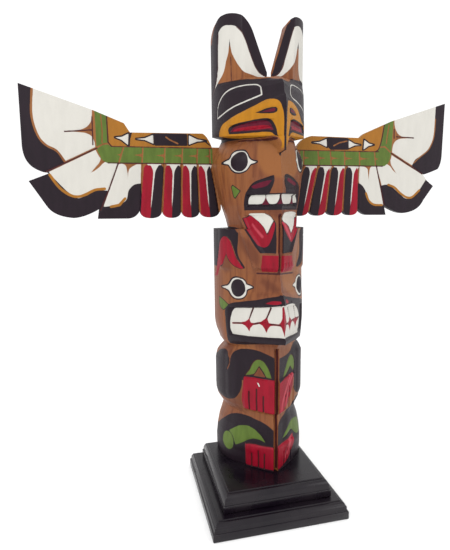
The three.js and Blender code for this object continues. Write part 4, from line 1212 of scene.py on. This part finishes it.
# Wing paint, left then right, in the same distances and heights
wingPaint = [
    {
        "groups": [
            [(211.6, 408), (212, 404), (214, 385), (213, 372), (209, 360), (203, 353), (200, 350.7),
             (194, 348), (190, 343), (187.5, 338.5), (205, 328), (215, 325), (232, 340), (232, 412)],
            [(202.5, 328), (201.5, 326), (199, 323), (190, 313), (184, 307.6), (181, 305.5), (177, 303.5),
             (170, 306), (163, 310.5), (158, 311.5), (149.6, 310.5), (156.5, 293.5), (170, 278),
             (230, 278), (226, 322), (206, 330)],
            [(118, 317.6), (122, 317), (125, 315.5), (129, 311), (131, 303), (136, 298.6), (146, 296),
             (155.5, 295), (162, 280), (130, 280), (116, 288), (117.5, 300)],
        ],
        "whites": [
            [(211.6, 410), (214, 385), (213, 372), (209, 360), (203, 353), (200, 350.7), (194, 348),
             (190, 343), (187.5, 338.5), (158.5, 352.3), (161, 361), (166, 364.5), (171, 365.4),
             (184, 366), (171, 368.2), (165, 371.5), (161.5, 377), (160.2, 388), (185, 400)],
            [(203.5, 327.9), (199, 323), (190, 313), (184, 306.8), (177, 303), (170, 305.5), (163, 310),
             (158, 311), (149.4, 309.5), (138.6, 336), (140, 337.5), (148, 339), (152, 337.5),
             (156, 333.5), (160, 330.5), (165, 327.5), (160.5, 332.5), (156, 338), (155, 343),
             (158.8, 349.6)],
            [(117.6, 318), (125, 316), (129, 311), (131, 303), (136, 298.6), (146, 295.6), (154.6, 294.6),
             (138, 336.4), (134, 336.8), (130.8, 334), (129.6, 322.5), (129, 329), (127, 333),
             (121, 336.3), (116.5, 336.6)],
        ],
        "green": [
            (45, 337.5), (149, 337.5), (152.5, 339.7), (155, 343), (158.3, 351), (158.3, 388),
            (147.6, 388), (147.6, 357.5), (146, 355), (143, 352.8), (45, 352.8)],
        "bandMarks": [
            (132.5, 137.8, 5), (114.3, 115.6, 12), (92.8, 93.8, 12), (75.4, 76.4, 11), (60.2, 61.2, 11),
            (48, 47.5, 7)],
        "golds": [
            ([(201.5, 325.9), (193.4, 313.9), (184.7, 307.4), (178.4, 305.6), (171, 307.2), (161.5, 311.9),
              (152.1, 313)], 2.6),
            ([(147, 295.8), (139, 297.4), (133.2, 303.6)], 2.6),
        ],
        "edgeLine": ([
            (211.6, 408), (214, 385), (213, 372), (209, 360), (203, 353), (194, 348),
            (187.5, 338.5)], 2.0),
        "wedgeLines": [[(186, 365.8), (161.3, 367.9)], [(160.7, 380), (161.1, 354.1)]],
        "lineOne": [(207, 327.6), (157.5, 351.2)],
        "lineTwo": [(138.2, 337.5), (148.3, 312), (157, 292.5)],
        "armGold": [(45, 353), (147.4, 353), (147.4, 384), (120, 384), (45, 370)],
        "arrows": [
            [(140.2, 361.6), (127.4, 365.6), (128.3, 354.6)],
            [(120.4, 360.6), (103.8, 365), (103.8, 356.3)],
            [(51.4, 360.2), (68.6, 365.3), (68.8, 356.2)],
        ],
        "box": [(70.4, 366.6), (102.6, 366.4), (102.6, 354.4), (70.4, 355)],
        "curveLine": [(124.8, 366.6), (126.6, 361), (127.4, 354)],
        "slit": [(91.5, 363), (88, 360.5), (80, 357)],
        "bandSlits": [[(152.6, 382), (152, 366), (152.6, 356.5)]],
        "bandEdge": [(159, 388), (158.6, 372), (158.4, 351), (155, 343)],
        "elbowLine": [(158, 351.4), (152, 354.8), (147, 355.4), (144.4, 353.6)],
        "innerLine": [(147.3, 384), (147, 357), (144, 353)],
        "tails": [[(53, 360.2), (47.5, 356)]],
    },
    {
        "groups": [
            [(213, 408), (213, 404), (212.8, 390), (212.4, 375), (211, 367), (208, 360), (204.5, 355),
             (200, 351), (195, 348), (190, 345), (187.3, 341.5), (186, 338.5), (200, 330), (212, 325),
             (232, 335), (232, 412)],
            [(205, 323.4), (194.9, 308.9), (187.4, 302.4), (182.3, 301), (177.1, 302), (171.7, 306),
             (165.1, 311), (158.6, 315.6), (153.5, 316.8), (147.6, 315.8), (147.6, 312), (151, 297),
             (160, 278), (215, 278), (225, 318)],
            [(119.4, 318.4), (122, 317), (125, 314), (127.6, 310), (129, 305), (132, 299), (135, 296),
             (140, 294.2), (151.6, 294.2), (156, 280), (130, 280), (119.6, 288)],
        ],
        "whites": [
            [(213, 410), (212.4, 375), (211, 367), (208, 360), (200, 351), (190, 345), (186, 338.5),
             (159, 353), (160.3, 360), (163, 364.6), (168, 367.3), (176, 368.2), (186, 368.4),
             (176, 369.6), (170, 370.4), (165, 374), (162, 380), (160.5, 388), (185, 400)],
            [(205, 324), (198, 313), (188, 302.4), (180, 300.6), (170, 305), (160, 313), (148, 316),
             (141, 337.2), (146, 338.6), (152, 340), (157, 338), (161, 333.5), (167.5, 328), (162.5, 334),
             (158.5, 340), (157.6, 346), (158.5, 350), (187, 335), (201, 329)],
            [(120, 318.4), (125, 314), (129, 305), (134, 296.6), (150.6, 294.6), (148.5, 305),
             (140, 337.2), (136, 337.6), (132.8, 335), (131.2, 321), (130, 333), (127.5, 336),
             (120, 337.8)],
        ],
        "green": [
            (50, 337.5), (150, 337.5), (154.6, 340.4), (157.4, 345.5), (158.4, 352), (160, 388),
            (149, 388), (145.6, 365), (143, 356), (139, 352.8), (50, 352.8)],
        "bandMarks": [
            (137.6, 139.4, 6), (119.2, 120, 14), (101.4, 102, 13), (84.6, 86, 13), (70.4, 71.4, 12),
            (54, 54, 8)],
        "golds": [
            ([(156, 317.3), (163.7, 314.5), (170.3, 309), (178.3, 303.9), (183.5, 302.7), (188.6, 304.4),
              (196.1, 311.1)], 2.5),
            ([(128.8, 308), (132.2, 300.2), (139, 295.4), (149, 294.8)], 2.3),
        ],
        "edgeLine": ([
            (212.8, 390), (212.4, 375), (211, 367), (208, 360), (204.5, 355), (195, 348), (187.3, 341.5)],
                    1.4),
        "wedgeLines": [[(186, 368.8), (164, 369.6)], [(160.9, 377.5), (161.3, 368)]],
        "lineOne": [(199, 329.4), (158.3, 351.8)],
        "lineTwo": [(140.3, 338.5), (152.5, 292.5)],
        "armGold": [(45, 353), (142, 353), (145.8, 362), (149.4, 386), (120, 386), (45, 370)],
        "arrows": [
            [(136.5, 360.4), (124.8, 365.4), (124.2, 355.2)],
            [(120.5, 359.8), (106, 364.6), (106.4, 356.2)],
            [(63.5, 361.3), (80, 365.4), (80.6, 357)],
        ],
        "box": [(80.6, 367.2), (105.6, 366.8), (105.8, 354.4), (85, 354), (81.6, 357)],
        "curveLine": [(123.9, 366), (123, 354.6)],
        "slit": [(88.5, 358.4), (95, 361.6), (104, 363.6)],
        "bandSlits": [[(154.5, 382), (152.6, 370), (151.8, 362)]],
        "bandEdge": [(160.4, 388), (160, 372), (158.8, 352), (157.4, 345)],
        "elbowLine": [(157, 353), (150, 358.6), (144, 358)],
        "innerLine": [(149, 384), (145.6, 365), (142.6, 356), (139, 353)],
        "tails": [],
    },
]


def wingOutline(hand):
    at = {name: values[hand] for name, values in wings.items() if isinstance(values, list)}
    feathers = at["feathers"]
    low, dip = wings["featherLow"], wings["dip"]
    arm = wings["armLow"] + 1
    inner, root = wings["inner"], feathers[-1] - 1
    points = [(inner, arm), (inner, 300), (root, 300), (root, dip + 1)]
    for i in range(len(feathers) - 1, 0, -1):
        start, end = feathers[i], feathers[i - 1]
        middle = (start + end) / 2
        if i < len(feathers) - 1:
            points.append((start, dip))
        curveTo(points, (start + 1, low), (middle, low))
        curveTo(points, (end - 1, low), (end, dip))
    curveTo(points, (at["thirdLow"][0] - 8, low + 0.5), at["thirdLow"])
    points += [at["thirdCorner"], at["secondInner"]]
    curveTo(points, (at["secondLow"][0] - 10, at["secondLow"][1] + 0.5), at["secondLow"])
    curveTo(points, (at["secondSide"][0] - 6, at["secondLow"][1] + 1.5), at["secondSide"])
    points += [at["secondOuter"], at["secondTop"], at["firstEnd"]]
    curveTo(points, (at["firstEnd"][0] + 2, at["firstEnd"][1] - 0.4), at["tipLow"])
    curveTo(points, (at["tipSide"][0] - 0.5, at["tipLow"][1] + 5), at["tipSide"])
    points += [at["tip"], at["greenTop"], at["armRise"]]
    curveTo(points, (at["elbow"][0] + 2, at["elbow"][1] + 3), at["elbow"])
    points.append(at["armEnd"])
    curveTo(points, (50, at["armEnd"][1] - 2), (45.5, arm))
    return points


def paintFeathers(canvas, hand):
    # each feather is half red, half black, with a cream line between them that widens at the top
    tops, feet = wings["featherTops"][hand], wings["feathers"][hand]
    rim = 0.9
    for i, (lineTop, lineFoot) in enumerate(wings["featherLines"][hand]):
        at = {height: lineTop + (lineFoot - lineTop) * (333 - height) / 35
              for height in (280, 282, 292, 295, 302, 315, 326, 331, 335.6)}
        paint(canvas, "white", "R", [
            (lineTop - 7, 337), (lineTop + 7, 337), (at[326] + 2.5, 326), (at[282] + 2.5, 282),
            (at[282] - 2.5, 282), (at[326] - 2.5, 326)], smooth=False)
        for layer, out, top, foot in (("red", 1, tops[i] - rim, feet[i] - rim),
                                      ("ink", -1, tops[i + 1] + rim, feet[i + 1] + rim)):
            paint(canvas, layer, "R", [
                (at[280] - 0.3 * out, 280), (at[292] - 0.2 * out, 292), (at[302] + 0.45 * out, 302),
                (at[326] + 0.75 * out, 326), (at[331] + 1.4 * out, 331), (at[335.6] + 3.9 * out, 335.6),
                (top - 2 * out, 336), (top, 333), (foot, 290), (foot, 280)])
        carveLine(canvas, "R", [(lineTop, 333), (at[315], 315), (at[295], 295)], 1.6, 0.35)
    low, high = wings["featherLow"], wings["bandLow"] - 0.5
    for top, foot in zip(tops, feet):
        carveLine(canvas, "R", [(foot, low), (top, high)], 2.2, 1.1, smooth=False)


def paintBand(canvas, marks):
    # brown cross lines of the green band, each with a spike that points outwards
    low, high = wings["bandLow"], wings["armLow"]
    middle = (low + high) / 2
    for top, foot, reach in marks["bandMarks"]:
        at = (top + foot) / 2
        stroke(canvas, "bare", "R", [(top, high), (foot, low)], 1.4, smooth=False)
        paint(canvas, "bare", "R", [
            (at - 0.4, middle + 2), (at + 0.4, middle - 2), (at + reach * 0.3, middle - 0.7),
            (at + reach, middle - 0.2), (at + reach * 0.3, middle + 0.7)], smooth=False)
        carveLine(canvas, "R", [(top, high), (foot, low)], 1.4, 0.35, smooth=False)
    for run in marks["bandSlits"] + [marks["bandEdge"]]:
        stroke(canvas, "bare", "R", run, 1.2)
        carveLine(canvas, "R", run, 1.4, 0.3)
    stroke(canvas, "bare", "R", marks["elbowLine"], 1.5)
    stroke(canvas, "line", "R", [(46, high), (143, high)], 1.0, smooth=False)
    stroke(canvas, "line", "R", [(46, low), (148, low)], 1.2, smooth=False)
    stroke(canvas, "line", "R", marks["innerLine"], 1.3)


def paintArrow(canvas, arrow):
    # a white dart with two bent edges, in a black surround
    tip, upper, lower = np.array(arrow, float)
    bent = [tip, (tip + upper) / 2 + [0, -1.3], upper, lower, (lower + tip) / 2 + [0, 1.3]]
    paint(canvas, "ink", "R", bent, grow=1.3, smooth=False)
    erase(canvas, "ink", "R", bent, smooth=False)
    erase(canvas, "yellow", "R", bent, grow=0.4, smooth=False)
    paint(canvas, "white", "R", bent, smooth=False)
    carveLine(canvas, "R", bent, 1.6, 0.35, closed=True, smooth=False)


def paintWing(canvas, hand):
    # both wings are painted as right wings; the left one is mirrored afterwards
    marks = wingPaint[hand]
    for outline in marks["whites"]:
        paint(canvas, "white", "R", outline)
        carveLine(canvas, "R", outline[:0:-1], 1.4, 0.3)
    for outline in marks["groups"]:
        paint(canvas, "black", "R", outline, grow=0.8)
        erase(canvas, "white", "R", outline, grow=0.6)
    for run, width in marks["golds"]:
        stroke(canvas, "yellow", "R", run, width)
    stroke(canvas, "bare", "R", *marks["edgeLine"])
    for run in marks["wedgeLines"]:
        stroke(canvas, "line", "R", run, 1.3, smooth=False)
    paint(canvas, "yellow", "R", marks["armGold"], smooth=False)
    paint(canvas, "green", "R", marks["green"], smooth=False)
    erase(canvas, "yellow", "R", marks["green"], grow=0.6, smooth=False)
    paintBand(canvas, marks)
    paintFeathers(canvas, hand)
    paint(canvas, "ink", "R", marks["box"], smooth=False)
    for run in marks["tails"]:
        stroke(canvas, "ink", "R", run, 1.2, smooth=False)
    stroke(canvas, "ink", "R", marks["curveLine"], 1.6)
    for arrow in marks["arrows"]:
        paintArrow(canvas, arrow)
    stroke(canvas, "bare", "R", marks["slit"], 1.4)
    for run in (marks["lineOne"], marks["lineTwo"]):
        stroke(canvas, "line", "R", run, 1.4, smooth=False)
        carveLine(canvas, "R", run, 2.0, 0.9, smooth=False)


def carveWing(hand):
    name = "leftWing" if hand == 0 else "rightWing"
    (inner, low), (outer, high) = wings["net"]
    front, thickness = wings["front"], wings["thickness"]
    across = np.arange(inner, outer, wings["step"])
    heights = np.arange(low, high, wings["step"])
    piece, row, column = makeNet(name, len(across), len(heights), paintedWing)
    writePoints(piece.data, np.stack([across[column], np.full(len(row), front), heights[row]], -1) * mm)
    # the rim of the net goes back by the thickness and is closed with one face
    bpy.ops.object.mode_set(mode="EDIT")
    bpy.ops.mesh.select_mode(type="EDGE")
    bpy.ops.mesh.select_all(action="DESELECT")
    bpy.ops.mesh.select_non_manifold()
    bpy.ops.mesh.extrude_edges_move(TRANSFORM_OT_translate={"value": (0, thickness * mm, 0)})
    bpy.ops.mesh.edge_face_add()
    faceOutward(piece)
    tool = outlinePrism(name + "Outline", wingOutline(hand), front - 5, front + 20, paintedWing)
    cutWith(piece, tool, "INTERSECT")
    mesh = piece.data
    points = readPoints(mesh) / mm
    canvas = newCanvas(points[:, 0], points[:, 2])
    paintWing(canvas, hand)
    points[:, 1] += np.where(points[:, 1] < front + 0.01, canvas["layers"]["cut"], 0)
    points[:, 0] *= -1 if hand == 0 else 1
    writePoints(mesh, points * mm)
    storeLayers(mesh, canvas)
    makeActive(piece)
    if hand == 0:
        onAllFaces(piece, bpy.ops.mesh.flip_normals)
    for polygon in mesh.polygons:
        polygon.material_index = 1 if polygon.normal.y > 0.9 else 0
    bpy.ops.object.shade_smooth_by_angle(angle=roundAngle)
    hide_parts("wing_left" if hand == 0 else "wing_right")
    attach(piece, "root")
    print(name, "carved:", len(mesh.polygons), "faces")


carveWing(0)
carveWing(1)


# Plinth: two square boards with moulded edges
plinth = {
    "shift": -6.4, "bevel": 0.8, "mouldIn": 6.3, "step": 1.0, "turns": 10,
    "lower": {"side": 131.0, "low": 0.0, "high": 16.7, "edge": 7.8, "reeds": 3},
    "upper": {"side": 106.0, "low": 17.0, "high": 34.0, "edge": 7.4, "reeds": 0},
    "reedDepth": 0.35, "cornerBevel": 0.5, "cornerAngle": math.radians(60), "sharpAngle": math.radians(30),
}


def boardProfile(board):
    half, low, edge, high = board["side"] / 2, board["low"], board["edge"], board["high"]
    bevel, step = plinth["bevel"], plinth["step"]
    profile = [(half - bevel, low), (half - 0.25, low + 0.25), (half, low + bevel), (half, low + edge - 0.5),
               (half - 0.35, low + edge), (half - step, low + edge)]
    rise = high - low - edge - step
    run = plinth["mouldIn"] - 2 * step
    turns = plinth["turns"] * (2 if board["reeds"] else 1)
    for i in range(1, turns + 1):
        turn = i / turns * math.pi / 2
        groove = plinth["reedDepth"] * (0.5 - 0.5 * math.cos(2 * math.pi * board["reeds"] * i / turns))
        x = half - step - run * (1 - math.cos(turn)) - groove * math.cos(turn)
        profile.append((x, low + edge + rise * math.sin(turn)))
    inner = half - plinth["mouldIn"]
    profile += [(inner, high - step), (inner, high - 0.3), (inner - 0.35, high)]
    return profile


def makeBoard(name, node, board):
    profile = boardProfile(board)
    reach, low = profile[0]
    shift = plinth["shift"] * mm
    bpy.ops.mesh.primitive_plane_add(size=2 * reach * mm, location=(shift, 0, low * mm))
    piece = bpy.context.object
    piece.name = name
    bpy.ops.object.transform_apply(location=True, rotation=True, scale=True)
    bpy.ops.object.mode_set(mode="EDIT")
    bpy.ops.mesh.select_all(action="SELECT")
    for (fromReach, fromZ), (toReach, toZ) in zip(profile, profile[1:]):
        bpy.ops.mesh.extrude_region_move(TRANSFORM_OT_translate={"value": (0, 0, (toZ - fromZ) * mm)})
        scale = toReach / fromReach
        bpy.ops.transform.resize(value=(scale, scale, 1), center_override=(shift, 0, toZ * mm))
    faceOutward(piece)
    bevel = piece.modifiers.new("corners", "BEVEL")
    bevel.width = plinth["cornerBevel"] * mm
    bevel.segments = 2
    bevel.limit_method = "ANGLE"
    bevel.angle_limit = plinth["cornerAngle"]
    bpy.ops.object.modifier_apply(modifier=bevel.name)
    piece.data.materials.append(blackLacquer)
    bpy.ops.object.shade_smooth_by_angle(angle=plinth["sharpAngle"])
    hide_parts(node)
    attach(piece, "root")
    print(name, "made:", len(piece.data.polygons), "faces")


makeBoard("lowerBoard", "plinth_lower", plinth["lower"])
makeBoard("upperBoard", "plinth_upper", plinth["upper"])
